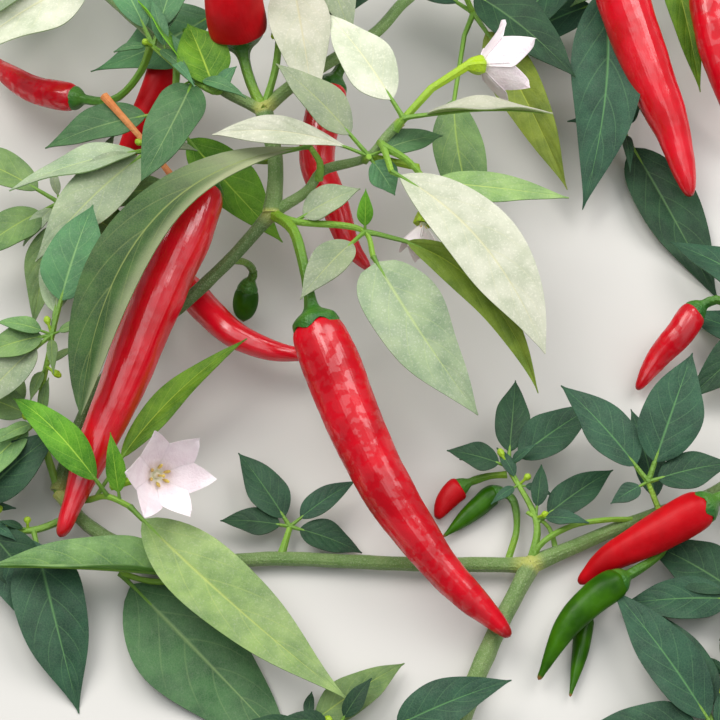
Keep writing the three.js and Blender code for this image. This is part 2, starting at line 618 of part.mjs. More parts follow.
// The outline of the petals: a star with broad rays, the first of them at an angle.
function star(span, count, first) {
  const corners = [[-1, 0.21], [-0.55, 0.37], [0, 0.5], [0.55, 0.37]];
  const points = [];
  for (let petal = 0; petal < count; petal += 1) {
    for (const [turn, radius] of corners) {
      const angle = first + (2 * petal + turn) * Math.PI / count;
      points.push(new THREE.Vector2(radius * span * Math.cos(angle), radius * span * Math.sin(angle)));
    }
  }
  return new THREE.Shape(points);
}

function petals(flower) {
  const { middle, turn, first } = facing(flower);
  return (grow) => {
    const outline = star(flower.span + 2 * grow, flower.petals, first);
    const plate = new THREE.ExtrudeGeometry(
      outline, { depth: PETAL_THICKNESS + 2 * grow, bevelEnabled: false });
    const position = plate.attributes.position;
    for (let i = 0; i < position.count; i += 1) {
      const spread = 2 * Math.hypot(position.getX(i), position.getY(i)) / flower.span;
      const inwards = 1 - 0.35 * flower.cup * spread;
      const forward = flower.span / 2 * (flower.cup * spread - 0.1 * spread ** 3);
      position.setXYZ(
        i, position.getX(i) * inwards, position.getY(i) * inwards, position.getZ(i) - grow + forward);
    }
    return toSolid(plate.applyQuaternion(turn).translate(middle.x, middle.y, middle.z));
  };
}

function pistil(flower) {
  const { middle, ahead } = facing(flower);
  const line = new THREE.LineCurve3(middle, middle.clone().addScaledVector(ahead, flower.span * 0.24));
  return (grow) => bodyAlong(line, withFlatEnds([[0, 1.7], [0.7, 1.5], [1, 0.6]]), { sides: 6, grow });
}

function flowerStalk(flower) {
  const { middle, ahead } = facing(flower);
  const line = smoothLine([
    ...flower.stalk.map(seen),
    middle.clone().addScaledVector(ahead, -FLOWER_CALYX_LENGTH), middle.clone().addScaledVector(ahead, -0.2),
  ]);
  const cup = FLOWER_CALYX_LENGTH / line.getLength();
  const rings = [[0, 1.2], [0.5 - cup / 2, 1.3], [1 - cup, 1.5], [1 - cup * 0.55, 2.5], [1, 2.8]];
  return (grow) => bodyAlong(line, withFlatEnds(rings), { sides: 7, grow });
}

const branch = new THREE.Group();
const taken = [];

// Adds a piece of the plant: its parts are joined, and what lies under the table or would touch a
// piece that is already there is cut away.
function add(name, parts, color, roughness = 0.6) {
  const joined = (grow) => wasm.Manifold.union(parts.map((part) => part(grow)));
  let solid = joined(0).trimByPlane([0, 0, 1], 0);
  for (const other of taken) solid = solid.subtract(other);
  [solid] = solid.simplify(SHORTEST_EDGE).decompose().sort((a, b) => b.volume() - a.volume());
  taken.push(joined(CLEARANCE));
  const mesh = new THREE.Mesh(
    toGeometry(solid), new THREE.MeshStandardMaterial({ color, roughness, metalness: 0 }));
  mesh.name = name;
  branch.add(mesh);
}

for (const [name, { line, foot, tip }] of Object.entries(STEMS)) {
  add(name, [limb(line, foot, tip, STEM_SIDES)], COLOURS.stem);
}
for (const [name, fruit] of Object.entries(RED_FRUITS)) {
  const whole = smoothLine([...fruit.stalk, ...fruit.body].map(seen));
  add(name, [fruitBody(fruit, whole)], COLOURS.red, 0.3);
  add(`${name}_stalk`, [fruitStalk(fruit, whole)], COLOURS.stalk);
}
for (const [set, color] of [[SMALL_RED_FRUITS, COLOURS.red], [GREEN_FRUITS, COLOURS.green]]) {
  for (const [name, fruit] of Object.entries(set)) {
    const whole = smoothLine([...fruit.stalk, ...fruit.body].map(seen));
    add(name, [fruitBody(fruit, whole, 0.1), fruitStalk(fruit, whole)], color, 0.3);
  }
}
for (const [name, flower] of Object.entries(FLOWERS)) {
  add(name, [petals(flower), pistil(flower)], COLOURS.petal);
  add(`${name}_stalk`, [flowerStalk(flower)], COLOURS.stalk);
}
const limbs = limbPoints();
for (const [name, { twigs, leaves, tufts = [] }] of Object.entries(SPRAYS)) {
  const shapes = [...leaves, ...tufts.flatMap((ring) => tuft(ring, limbs))];
  add(name, [
    ...twigs.map((places) => limb(places, TWIG_FOOT_RADIUS, TWIG_TIP_RADIUS, TWIG_SIDES)),
    ...shapes.map(leaf),
  ], COLOURS.leaf);
}

// The middle of the branch stands over the origin of the table.
const reach = new THREE.Box3().setFromObject(branch);
const middle = reach.getCenter(new THREE.Vector3());
branch.position.set(-middle.x, -middle.y, -reach.min.z);

export default branch;
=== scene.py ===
# %% [markdown]
# # A cut branch of a chilli pepper plant
# The branch lies on a pale table: forking stems, leaves in sprays, red and green fruits that hang in
# the air on bent stalks, and white flowers. The frame holds the plain solids of the same branch in
# metres, each with a name, so a piece made here goes where its solid is.

# %% The frame
import json
import math
import random

import bmesh
import bpy
import numpy as np
from mathutils import Matrix, Vector, noise


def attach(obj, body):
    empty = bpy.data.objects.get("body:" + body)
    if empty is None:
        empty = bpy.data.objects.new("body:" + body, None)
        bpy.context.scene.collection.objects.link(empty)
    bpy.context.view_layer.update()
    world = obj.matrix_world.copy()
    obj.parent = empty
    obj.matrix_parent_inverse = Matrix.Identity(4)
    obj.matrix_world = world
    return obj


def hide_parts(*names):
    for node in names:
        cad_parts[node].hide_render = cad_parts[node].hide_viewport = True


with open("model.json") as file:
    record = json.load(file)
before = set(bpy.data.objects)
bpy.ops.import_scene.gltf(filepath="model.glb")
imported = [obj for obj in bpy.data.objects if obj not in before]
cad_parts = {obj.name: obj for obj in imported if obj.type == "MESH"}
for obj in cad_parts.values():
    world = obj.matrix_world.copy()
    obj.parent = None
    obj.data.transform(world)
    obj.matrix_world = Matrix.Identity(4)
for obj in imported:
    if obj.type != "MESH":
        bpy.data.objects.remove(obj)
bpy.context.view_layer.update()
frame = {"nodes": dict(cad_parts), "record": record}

# %% [markdown]
# ## Places as they are seen
# Every place on the branch is written as somebody sees it who looks down on the table: millimetres
# across and up in the picture, and height above the table. Such a list can be read against a picture
# of the plant with the eye, which a list of room coordinates can't.

# %% From the picture to the table
SIGHT_DIP = math.radians(60)
SIGHT_LENGTH = 600
SIGHT_HEIGHT = 30
EYE = Vector((0, -SIGHT_LENGTH * math.cos(SIGHT_DIP),
              SIGHT_HEIGHT + SIGHT_LENGTH * math.sin(SIGHT_DIP)))
UP = Vector((0, 0, 1))
CUT_END = (27, -117, 2.8)


def on_table(place, shift=Vector()):
    """The point that is seen at this place, in millimetres, moved by a shift."""
    across, up, height = place
    in_picture = Vector((across, up * math.sin(SIGHT_DIP), SIGHT_HEIGHT + up * math.cos(SIGHT_DIP)))
    return EYE.lerp(in_picture, (EYE.z - height) / (EYE.z - in_picture.z)) + shift


mount = frame["record"]["mounts"][0]
SHIFT = Vector(mount["pos_m"]) * 1000 - on_table(CUT_END)
print("the branch is moved by", tuple(round(value, 3) for value in SHIFT), "mm")


def seen(place):
    """The point of the branch that is seen at this place, in millimetres of the frame."""
    return on_table(place, SHIFT)


# %% [markdown]
# ## Camera, table and light
# The camera stands where the picture was taken from and looks down by the same dip. Plain soft light
# from two panels at the upper left and upper right and a wide one overhead gives the fruits their long
# pale highlights, as an open sky does, and a weaker panel low on the right keeps the shadows open.

# %% The camera
PICTURE_WIDTH = 216
MILLIMETRE = 0.001

lens = bpy.data.cameras.new("camera")
lens.sensor_width = 36
lens.lens = lens.sensor_width * SIGHT_LENGTH / PICTURE_WIDTH
lens.clip_start = 0.01
camera = bpy.data.objects.new("camera", lens)
bpy.context.scene.collection.objects.link(camera)
camera.location = (EYE + SHIFT) * MILLIMETRE
camera.rotation_euler = (math.pi / 2 - SIGHT_DIP, 0, 0)
bpy.context.scene.camera = camera
print("camera at", tuple(round(value, 3) for value in camera.location))


# %% The table and the light panels
def paint(red, green, blue):
    """A screen colour of 0 to 255, as the linear colour that a shader wants."""
    def linear(value):
        value /= 255
        return value / 12.92 if value <= 0.04045 else ((value + 0.055) / 1.055) ** 2.4
    return (linear(red), linear(green), linear(blue), 1)


def panel(name, place, size, power, colour):
    """A square light panel of a size in metres and a power in watts, turned to the branch."""
    light = bpy.data.lights.new(name, "AREA")
    light.size = size
    light.energy = power
    light.color = colour
    lamp = bpy.data.objects.new(name, light)
    lamp.location = place
    lamp.rotation_euler = (-Vector(place)).to_track_quat("-Z", "Y").to_euler()
    bpy.context.scene.collection.objects.link(lamp)


floor_mesh = bmesh.new()
bmesh.ops.create_grid(floor_mesh, x_segments=2, y_segments=2, size=4)
floor_data = bpy.data.meshes.new("table")
floor_mesh.to_mesh(floor_data)
floor_mesh.free()
table = bpy.data.objects.new("table", floor_data)
bpy.context.scene.collection.objects.link(table)
table_paint = bpy.data.materials.new("table_paint")
table_paint.use_nodes = True
table_shader = table_paint.node_tree.nodes["Principled BSDF"].inputs
table_shader["Base Color"].default_value = paint(205, 203, 198)
table_shader["Roughness"].default_value = 0.9
floor_data.materials.append(table_paint)

panel("key_panel", (-0.42, 0.3, 0.9), 0.7, 8, (1, 0.98, 0.94))
panel("side_panel", (0.55, 0.3, 0.85), 0.7, 6, (1, 0.97, 0.97))
panel("top_panel", (-0.1, -0.25, 1.15), 1.1, 5.5, (0.96, 0.98, 1))
panel("fill_panel", (0.9, -0.5, 0.8), 1.0, 2, (0.93, 0.97, 1))
world = bpy.data.worlds.new("sky")
world.use_nodes = True
sky = world.node_tree.nodes["Background"].inputs
sky["Color"].default_value = (0.86, 0.9, 0.95, 1)
sky["Strength"].default_value = 0.27
bpy.context.scene.world = world
bpy.context.scene.view_settings.view_transform = "Standard"


# %% [markdown]
# ## Lines that grow
# Stems, stalks, leaves and fruits all follow a smooth line. A straight body is turned or cut out
# first, with its length written as a share from 0 to 1 along Z, and is then laid along its line. That
# keeps each body's own detail apart from the bend of the branch.

# %% A smooth line through places
def smooth_points(points, first=0, last=None, fine=24):
    """Centripetal Catmull-Rom points from one place of a line to another."""
    last = len(points) - 1 if last is None else last
    ends = [2 * points[0] - points[1], *points, 2 * points[-1] - points[-2]]
    samples = []
    for step in range(round((last - first) * fine) + 1):
        place = first + step / fine
        i = min(int(place), len(points) - 2)
        t = place - i
        p0, p1, p2, p3 = ends[i:i + 4]
        d0, d1, d2 = [max((b - a).length, 1e-4) ** 0.5 for a, b in ((p0, p1), (p1, p2), (p2, p3))]
        t1 = ((p1 - p0) / d0 - (p2 - p0) / (d0 + d1) + (p2 - p1) / d1) * d1
        t2 = ((p2 - p1) / d1 - (p3 - p1) / (d1 + d2) + (p3 - p2) / d2) * d1
        samples.append(
            p1 + t1 * t + (3 * (p2 - p1) - 2 * t1 - t2) * t ** 2 + (2 * (p1 - p2) + t1 + t2) * t ** 3)
    return samples


class Path:
    """A line that is walked by share of its length, with the side and face directions on the way."""

    def __init__(self, samples, roll=0.0):
        self.samples = np.array([tuple(point) for point in samples])
        strides = np.linalg.norm(np.diff(self.samples, axis=0), axis=1)
        self.walked = np.concatenate([[0], np.cumsum(strides)])
        self.length = float(self.walked[-1])
        self.roll = roll
        self.known = {}

    def point(self, share):
        walked = share * self.length
        return Vector([float(np.interp(walked, self.walked, self.samples[:, k])) for k in range(3)])

    def place(self, share):
        """The point, the direction ahead, the side and the face at a share of the length."""
        share = round(share, 5)
        if share not in self.known:
            inside = min(max(share, 0), 1)
            ahead = (self.point(min(inside + 0.005, 1)) - self.point(max(inside - 0.005, 0))).normalized()
            side = ahead.cross(UP).normalized()
            face = side.cross(ahead)
            turn = Matrix.Rotation(self.roll, 3, ahead)
            point = self.point(inside) + ahead * (share - inside) * self.length
            self.known[share] = (point, ahead, turn @ side, turn @ face)
        return self.known[share]


def lay_along(verts, path):
    """Moves a straight body, whose Z is a share of the length, on to its line."""
    for vert in verts:
        point, _, side, face = path.place(vert.co.z)
        vert.co = point + side * vert.co.x + face * vert.co.y


def path_through(places, *stretch):
    """The path of the smooth line through places of the picture."""
    return Path(smooth_points([seen(place) for place in places], *stretch))


print("a test line is", round(path_through([CUT_END, (51, -61.5, 6)]).length, 1), "mm long")


# %% [markdown]
# ## Parts and pieces
# A part is one fruit, leaf or twig in its own bmesh, and parts of one kind are joined into a piece.
# Each point keeps three numbers that the finishes read: how far along its part it is, a tone that
# differs from leaf to leaf, and whether it is on the underside.

# %% Parts, and a piece from parts
LAYERS = ("along", "tone", "under")


def new_part():
    part = bmesh.new()
    for name in LAYERS:
        part.verts.layers.float.new(name)
    part.loops.layers.uv.new("UVMap")
    return part


def join(whole, part):
    """Adds a part to a piece."""
    shared = bpy.data.meshes.new("part")
    part.to_mesh(shared)
    part.free()
    whole.from_mesh(shared)
    bpy.data.meshes.remove(shared)


def write(part, name, value):
    """Gives every point of a part its number: one value, or a function of the point."""
    layer = part.verts.layers.float[name]
    for vert in part.verts:
        vert[layer] = value(vert) if callable(value) else value


SHARPEST_SMOOTH = math.radians(55)
pieces = {}


def piece(whole, name, finishes, slot, *nodes):
    """Makes an object in metres from a piece in millimetres, and puts it on the branch."""
    bmesh.ops.recalc_face_normals(whole, faces=whole.faces)
    for edge in whole.edges:
        edge.smooth = edge.calc_face_angle(0) < SHARPEST_SMOOTH
    bmesh.ops.scale(whole, vec=(MILLIMETRE, MILLIMETRE, MILLIMETRE), verts=whole.verts)
    mesh = bpy.data.meshes.new(name)
    whole.to_mesh(mesh)
    whole.free()
    for finish in finishes:
        mesh.materials.append(finish)
    obj = bpy.data.objects.new(name, mesh)
    bpy.context.scene.collection.objects.link(obj)
    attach(obj, "root")
    if nodes:
        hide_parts(*nodes)
    pieces[name] = sum(len(face.vertices) - 2 for face in mesh.polygons)


# %% [markdown]
# ## Turned bodies
# Fruits, stalks and stems are round, so their half outline is drawn once and spun about its own
# length. A list of rings joined by hand would give the same mesh, but spin keeps the outline readable
# and closes the seam by itself.

# %% A turned body
def turned(profile, sides, shape=None):
    """Spins (share, radius) pairs about Z. A shape function may change a point by its angle and share."""
    part = new_part()
    chain = [part.verts.new((radius, 0, share)) for share, radius in profile]
    edges = [part.edges.new(pair) for pair in zip(chain, chain[1:])]
    bmesh.ops.spin(part, geom=chain + edges, cent=(0, 0, 0), axis=(0, 0, 1), angle=2 * math.pi,
                   steps=sides, use_merge=True)
    bmesh.ops.remove_doubles(part, verts=part.verts, dist=1e-6)
    write(part, "along", lambda vert: vert.co.z)
    if shape:
        for vert in part.verts:
            angle = math.atan2(vert.co.y, vert.co.x)
            swell, drift = shape(angle, vert.co.z)
            vert.co = Vector((vert.co.x * swell, vert.co.y * swell, vert.co.z + drift))
    return part


def lump(part, size, depth, seed):
    """Pushes points in and out along their normals by soft noise of a size, in millimetres."""
    part.normal_update()
    start = Vector((seed * 7.3, seed * 3.1, seed * 5.7))
    moves = [(vert, vert.normal * depth * noise.noise(vert.co / size + start)) for vert in part.verts]
    for vert, move in moves:
        vert.co += move


def keep_up(part, lowest=0.02):
    """Keeps every point above the table."""
    for vert in part.verts:
        vert.co.z = max(vert.co.z, lowest)


# %% [markdown]
# ## Shared effects for the finishes
# Three effects come back in several finishes, so each is a node group built once: soft mottling in
# two scales, the film of fine dust that dulls old leaves and bark, and the veins of a leaf. They give
# masks and heights only, and each finish mixes its own colours with them.

# %% Helpers for node trees
def node(tree, kind, links=None, **values):
    """A shader node, with values on its own inputs or settings, and links to its inputs."""
    made = tree.nodes.new("ShaderNode" + kind)
    for name, value in values.items():
        if name in made.inputs:
            made.inputs[name].default_value = value
        else:
            setattr(made, name, value)
    for name, source in (links or {}).items():
        tree.links.new(source, made.inputs[name])
    return made


def calc(tree, operation, *terms):
    """A Math node on sockets or numbers; gives its result."""
    made = tree.nodes.new("ShaderNodeMath")
    made.operation = operation
    for socket, term in zip(made.inputs, terms):
        if isinstance(term, (int, float)):
            socket.default_value = term
        else:
            tree.links.new(term, socket)
    return made.outputs[0]


def ramp(tree, source, low, high, start=0.0, end=1.0):
    """Maps low to high on to start to end, clamped and eased."""
    made = node(tree, "MapRange", {"Value": source}, interpolation_type="SMOOTHSTEP")
    for name, value in (("From Min", low), ("From Max", high), ("To Min", start), ("To Max", end)):
        made.inputs[name].default_value = value
    return made.outputs["Result"]


def blend(tree, share, first, second, mode="MIX"):
    """Mixes two colours, each a socket or a plain colour, by a share."""
    made = tree.nodes.new("ShaderNodeMix")
    made.data_type = "RGBA"
    made.blend_type = mode
    for socket, term in ((made.inputs[0], share), (made.inputs[6], first), (made.inputs[7], second)):
        if isinstance(term, (tuple, float, int)):
            socket.default_value = term
        else:
            tree.links.new(term, socket)
    return made.outputs[2]


def tint(tree, mask, share, body, colour):
    """Lays a colour over another where a mask is, up to a share."""
    return blend(tree, calc(tree, "MULTIPLY", mask, share), body, colour)


def effect(name, inputs, outputs):
    """An empty node group with number inputs and outputs."""
    group = bpy.data.node_groups.new(name, "ShaderNodeTree")
    for label, value in inputs.items():
        socket = group.interface.new_socket(label, in_out="INPUT", socket_type="NodeSocketFloat")
        socket.default_value = value
    for label in outputs:
        group.interface.new_socket(label, in_out="OUTPUT", socket_type="NodeSocketFloat")
    return group, group.nodes.new("NodeGroupInput").outputs, group.nodes.new("NodeGroupOutput").inputs


def use(tree, group, **values):
    """An effect in a finish, with its numbers set; gives its outputs."""
    made = tree.nodes.new("ShaderNodeGroup")
    made.node_tree = group
    for name, value in values.items():
        made.inputs[name].default_value = value
    return made.outputs


# %% Mottling
mottle, given, gives = effect("mottle", {"Scale": 120.0, "Fine Scale": 900.0}, ["Soft", "Fine"])
spot = node(mottle, "TexCoord").outputs["Object"]
broad = node(mottle, "TexNoise", {"Vector": spot, "Scale": given["Scale"]}, Detail=3.0, Roughness=0.55)
fine = node(mottle, "TexNoise", {"Vector": spot, "Scale": given["Fine Scale"]}, Detail=2.0)
mottle.links.new(ramp(mottle, broad.outputs[0], 0.3, 0.7), gives["Soft"])
mottle.links.new(ramp(mottle, fine.outputs[0], 0.3, 0.7), gives["Fine"])


def mottling(tree, scale, fine_scale):
    """The mottle effect in a finish, with spots per metre in its two scales."""
    return use(tree, mottle, **{"Scale": float(scale), "Fine Scale": float(fine_scale)})


# %% Dust
dust, given, gives = effect("dust", {"Scale": 1400.0, "Cover": 0.5}, ["Film", "Grains"])
spot = node(dust, "TexCoord").outputs["Object"]
cloud = node(dust, "TexNoise", {"Vector": spot}, Scale=70.0, Detail=4.0, Roughness=0.6)
grains = node(dust, "TexNoise", {"Vector": spot, "Scale": given["Scale"]}, Detail=1.0)
patchy = ramp(dust, cloud.outputs[0], 0.25, 0.75, 0.55, 1.0)
dust.links.new(calc(dust, "MULTIPLY", patchy, given["Cover"]), gives["Film"])
dust.links.new(calc(dust, "MULTIPLY", ramp(dust, grains.outputs[0], 0.56, 0.68), patchy), gives["Grains"])
print("groups:", [group.name for group in bpy.data.node_groups])

# %% [markdown]
# The veins follow the blade, so they read the leaf's own UV map: U goes across the blade and V from
# its root to its tip. Side veins leave the midrib in pairs and sweep towards the tip; the blade bulges
# a little between them. The mesh bulges by the same rule, with the same two numbers.

# %% Veins of a leaf
VEIN_PAIRS = 6
VEIN_SWEEP = 1.9

veins, given, gives = effect("leaf veins", {"Midrib": 0.06},
                             ["Midrib", "Side Veins", "Bulge", "Net", "Across", "Along"])
on_leaf = node(veins, "UVMap", uv_map="UVMap").outputs[0]
across, along, _ = node(veins, "SeparateXYZ", {"Vector": on_leaf}).outputs
away = calc(veins, "ABSOLUTE", calc(veins, "SUBTRACT", calc(veins, "MULTIPLY", across, 2.0), 1.0))
swept = calc(veins, "MULTIPLY", calc(veins, "POWER", away, 1.2), VEIN_SWEEP)
phase = calc(veins, "SUBTRACT", calc(veins, "MULTIPLY", along, float(VEIN_PAIRS)), swept)
gap = calc(veins, "PINGPONG", phase, 0.5)
midrib_edge = calc(veins, "MULTIPLY", given["Midrib"], calc(veins, "SUBTRACT", 1.25, along))
midrib = calc(veins, "SUBTRACT", 1.0, calc(veins, "MINIMUM", calc(veins, "DIVIDE", away, midrib_edge), 1.0))
side_line = ramp(veins, gap, 0.0, 0.06, 1.0, 0.0)
side_line = calc(veins, "MULTIPLY", side_line, ramp(veins, away, 0.5, 1.0, 1.0, 0.15))
bulge = calc(veins, "MULTIPLY", ramp(veins, gap, 0.0, 0.5), ramp(veins, away, 0.6, 1.0, 1.0, 0.2))
cells = node(veins, "TexVoronoi", {"Vector": node(veins, "TexCoord").outputs["Object"]}, Scale=1300.0,
             feature="DISTANCE_TO_EDGE")
net = ramp(veins, cells.outputs["Distance"], 0.0, 0.16, 1.0, 0.0)
for label, mask in (("Net", net), ("Across", across), ("Along", along), ("Midrib", midrib),
                    ("Side Veins", side_line), ("Bulge", bulge)):
    veins.links.new(mask, gives[label])
print("the veins give:", [socket.name for socket in gives if socket.name])


# %% [markdown]
# ## Finishes
# A finish is a material with its own shader and colours. The leaves differ by spray: young ones are bright
# and yellow-green, old ones on top are pale with dust, and the ones below, in the shade, are painted a
# darker blue-green, which is painted shade. Their colours are plain base colours dealt out by spray.

# %% A finish and its shader
def finish(name, roughness, **settings):
    made = bpy.data.materials.new(name)
    made.use_nodes = True
    shader = made.node_tree.nodes["Principled BSDF"]
    shader.inputs["Roughness"].default_value = roughness
    for label, value in settings.items():
        shader.inputs[label.replace("_", " ")].default_value = value
    return made, made.node_tree, shader


def raise_by(tree, shader, height, strength, distance):
    """A bump from a height, on the shader's normal."""
    bump = node(tree, "Bump", {"Height": height}, Strength=strength, Distance=distance)
    tree.links.new(bump.outputs["Normal"], shader.inputs["Normal"])


def attribute(tree, name):
    return node(tree, "Attribute", attribute_name=name).outputs["Fac"]


DUST_FILM = paint(222, 218, 202)
DUST_GRAINS = paint(238, 234, 220)
# The pale of an old leaf's root and lit margin: partly dust, partly painted sheen and painted light.
DUST_AND_SHEEN_PALE = paint(196, 202, 160)


def leaf_finish(name, shade, lit, vein, back, dusty, roughness=0.55, worn=0.0):
    """The finish of one class of leaves: shade and lit are its top, back is its underside.

    Where its last number is set, the leaf is paler towards its root, partly with dust and partly with
    painted sheen, and along the margin that is turned to the light, as painted light.
    """
    made, tree, shader = finish(name, roughness, Specular_IOR_Level=0.14)
    marks = use(tree, veins)
    tones = mottling(tree, 130, 1100)
    film = use(tree, dust, Cover=dusty, Scale=1500.0)
    top = blend(tree, tones["Soft"], shade, lit)
    # The bulges between the veins are tinted towards the lit colour, which is painted light.
    top = tint(tree, marks["Bulge"], 0.15, top, lit)
    top = tint(tree, marks["Net"], 0.1, top, vein)
    top = blend(tree, film["Film"], top, DUST_FILM)
    top = tint(tree, film["Grains"], dusty * 0.5, top, DUST_GRAINS)
    # Paler towards the root (partly dust, partly painted sheen) and along the margin turned to the light
    # (painted light).
    if worn:
        dust_and_sheen_mask = calc(tree, "ADD", ramp(tree, marks["Along"], 0.05, 0.45, 1.0, 0.0),
                        ramp(tree, marks["Across"], 0.0, 0.35, 0.75, 0.0))
        top = tint(tree, calc(tree, "MINIMUM", dust_and_sheen_mask, 1.0), worn, top, DUST_AND_SHEEN_PALE)
    top = tint(tree, marks["Side Veins"], 0.28, top, vein)
    top = tint(tree, marks["Midrib"], 0.9, top, vein)
    below = tint(tree, marks["Side Veins"], 0.7, back, vein)
    both = blend(tree, attribute(tree, "under"), top, below)
    shift = node(tree, "HueSaturation", {"Color": both})
    tree.links.new(ramp(tree, attribute(tree, "tone"), 0.0, 1.0, 0.8, 1.16), shift.inputs["Value"])
    tree.links.new(ramp(tree, attribute(tree, "tone"), 0.0, 1.0, 0.486, 0.51), shift.inputs["Hue"])
    tree.links.new(shift.outputs["Color"], shader.inputs["Base Color"])
    height = calc(tree, "ADD", marks["Bulge"], calc(tree, "MULTIPLY", tones["Fine"], 0.35))
    height = calc(tree, "SUBTRACT", height, calc(tree, "MULTIPLY", marks["Net"], 0.35))
    height = calc(tree, "SUBTRACT", height, calc(tree, "MULTIPLY", marks["Midrib"], 1.4))
    raise_by(tree, shader, height, 0.22, 0.0004)
    return made


LEAF_FINISHES = {
    "dusty": leaf_finish("leaf_dusty", paint(78, 116, 74), paint(120, 148, 98), paint(176, 190, 132),
                         paint(122, 158, 84), 0.3),
    "pale": leaf_finish("leaf_pale", paint(122, 144, 104), paint(178, 186, 160), paint(206, 204, 166),
                        paint(140, 172, 92), 0.6),
    "mid": leaf_finish("leaf_mid", paint(60, 106, 48), paint(102, 142, 70), paint(160, 186, 98),
                       paint(100, 148, 60), 0.1),
    "fresh": leaf_finish("leaf_fresh", paint(84, 130, 50), paint(128, 166, 78), paint(178, 196, 112),
                         paint(112, 156, 72), 0.18),
    # This finish is paler towards the root and the lit margin: partly dust and partly painted sheen.
    "worn": leaf_finish("leaf_dust_and_sheen", paint(26, 72, 26), paint(54, 100, 42), paint(150, 168, 100),
                        paint(96, 142, 66), 0.05, worn=0.6),
    "blue": leaf_finish("leaf_blue_green", paint(34, 90, 50), paint(60, 118, 66), paint(136, 170, 112),
                        paint(84, 128, 74), 0.07),
    "bright": leaf_finish("leaf_bright", paint(52, 106, 8), paint(98, 150, 30), paint(170, 200, 78),
                          paint(124, 172, 40), 0.02, 0.5),
    "olive": leaf_finish("leaf_olive", paint(88, 116, 20), paint(126, 150, 40), paint(164, 182, 72),
                         paint(124, 154, 36), 0.05),
    # This finish is painted shade: a deeper copy of the blue-green for the leaves that lie below in the
    # shade.
    "dark": leaf_finish("leaf_dark_painted_shade", paint(16, 54, 38), paint(34, 76, 52), paint(96, 138, 88),
                        paint(66, 108, 62), 0.03, 0.5),
}
print("leaf finishes:", sorted(LEAF_FINISHES))


# %% [markdown]
# A ripe chilli has a smooth waxy skin over a slightly uneven wall. On some fruits the wax breaks the
# highlight into patches, and the gloss changes from place to place more than the colour does. On others it
# is even, and their red is painted a little lighter, which is painted light. The fruits in the shade are
# painted a deeper red, which is painted shade, and hardly shine.

# %% The skins of the fruits
def skin_finish(name, deep, warm, tip, gloss, patchy=1.0, soft=0.2, wax=1.65):
    """A waxy skin: gloss is the strength of its highlight, patchy how broken it is, soft how blurred."""
    made, tree, shader = finish(name, 0.3, Coat_Roughness=soft, Coat_IOR=wax, Specular_IOR_Level=0.05)
    tones = mottling(tree, 90, 300)
    body = blend(tree, tones["Soft"], deep, warm)
    ends = ramp(tree, attribute(tree, "along"), 0.955, 0.995)
    tree.links.new(blend(tree, ends, body, tip), shader.inputs["Base Color"])
    tree.links.new(ramp(tree, tones["Fine"], 0.2, 0.8, 0.4, 0.6), shader.inputs["Roughness"])
    dull = gloss * (1 - 0.7 * patchy)
    edge = 0.2 - 0.12 * patchy
    patches = ramp(tree, tones["Fine"], 0.46 - edge, 0.46 + edge, dull, gloss)
    tree.links.new(patches, shader.inputs["Coat Weight"])
    raise_by(tree, shader, tones["Fine"], 0.03 + 0.08 * patchy, 0.0006)
    return made


SKINS = {
    "waxy": skin_finish("red_skin_waxy", paint(178, 2, 20), paint(208, 8, 30), paint(150, 14, 18), 1.0),
    # The even skin's red is a little lighter than the waxy one, as painted light.
    "even": skin_finish("red_skin_even_painted_light", paint(200, 2, 20), paint(222, 6, 34), paint(176, 16, 22), 1.0,
                        0.4, 0.16, 1.75),
    # The dull skin is a deeper red for the fruits in the shade: painted shade.
    "dull": skin_finish("red_skin_dull_painted_shade", paint(168, 2, 12), paint(196, 6, 20), paint(140, 14, 14), 0.2,
                        0.4, 0.4),
    "green": skin_finish("green_skin", paint(30, 72, 0), paint(58, 108, 4), paint(140, 92, 54), 0.2, 0.5,
                         0.3),
}


# %% [markdown]
# Stalks, calyxes and young stems are the same bright green tissue with ridges along them; the old stem has
# turned grey and is downy. The ridges are in the mesh, and the finish adds a soft mottle of a streak colour
# over a blend from the colour at the root to the one at the far end, by the number that each point keeps.

# %% Green tissue and bark
YELLOW_NODE = paint(176, 178, 86)
PALE_DOWN = paint(204, 208, 178)


def tissue_finish(name, root, far, streak, roughness, downy=0.0, node_tint=0.0):
    """Stem and stalk tissue, from the colour at its root to the one at its far end, with streaks."""
    made, tree, shader = finish(name, roughness, Specular_IOR_Level=0.4, Sheen_Weight=downy)
    tones = mottling(tree, 160, 1300)
    along = attribute(tree, "along")
    body = blend(tree, along, root, far)
    body = tint(tree, tones["Soft"], 0.6, body, streak)
    ends = calc(tree, "MULTIPLY", calc(tree, "ABSOLUTE", calc(tree, "SUBTRACT", along, 0.5)), 2.0)
    body = tint(tree, ramp(tree, ends, 0.9, 1.0), node_tint, body, YELLOW_NODE)
    if downy:
        film = use(tree, dust, Cover=0.1, Scale=3200.0)
        body = tint(tree, film["Grains"], 0.3, body, PALE_DOWN)
    tree.links.new(body, shader.inputs["Base Color"])
    raise_by(tree, shader, calc(tree, "ADD", tones["Fine"], tones["Soft"]), 0.4, 0.0004)
    return made


BARK = tissue_finish("grey_green_stem", paint(92, 124, 56), paint(92, 124, 62), paint(122, 144, 86), 0.6,
                     0.15, 0.8)
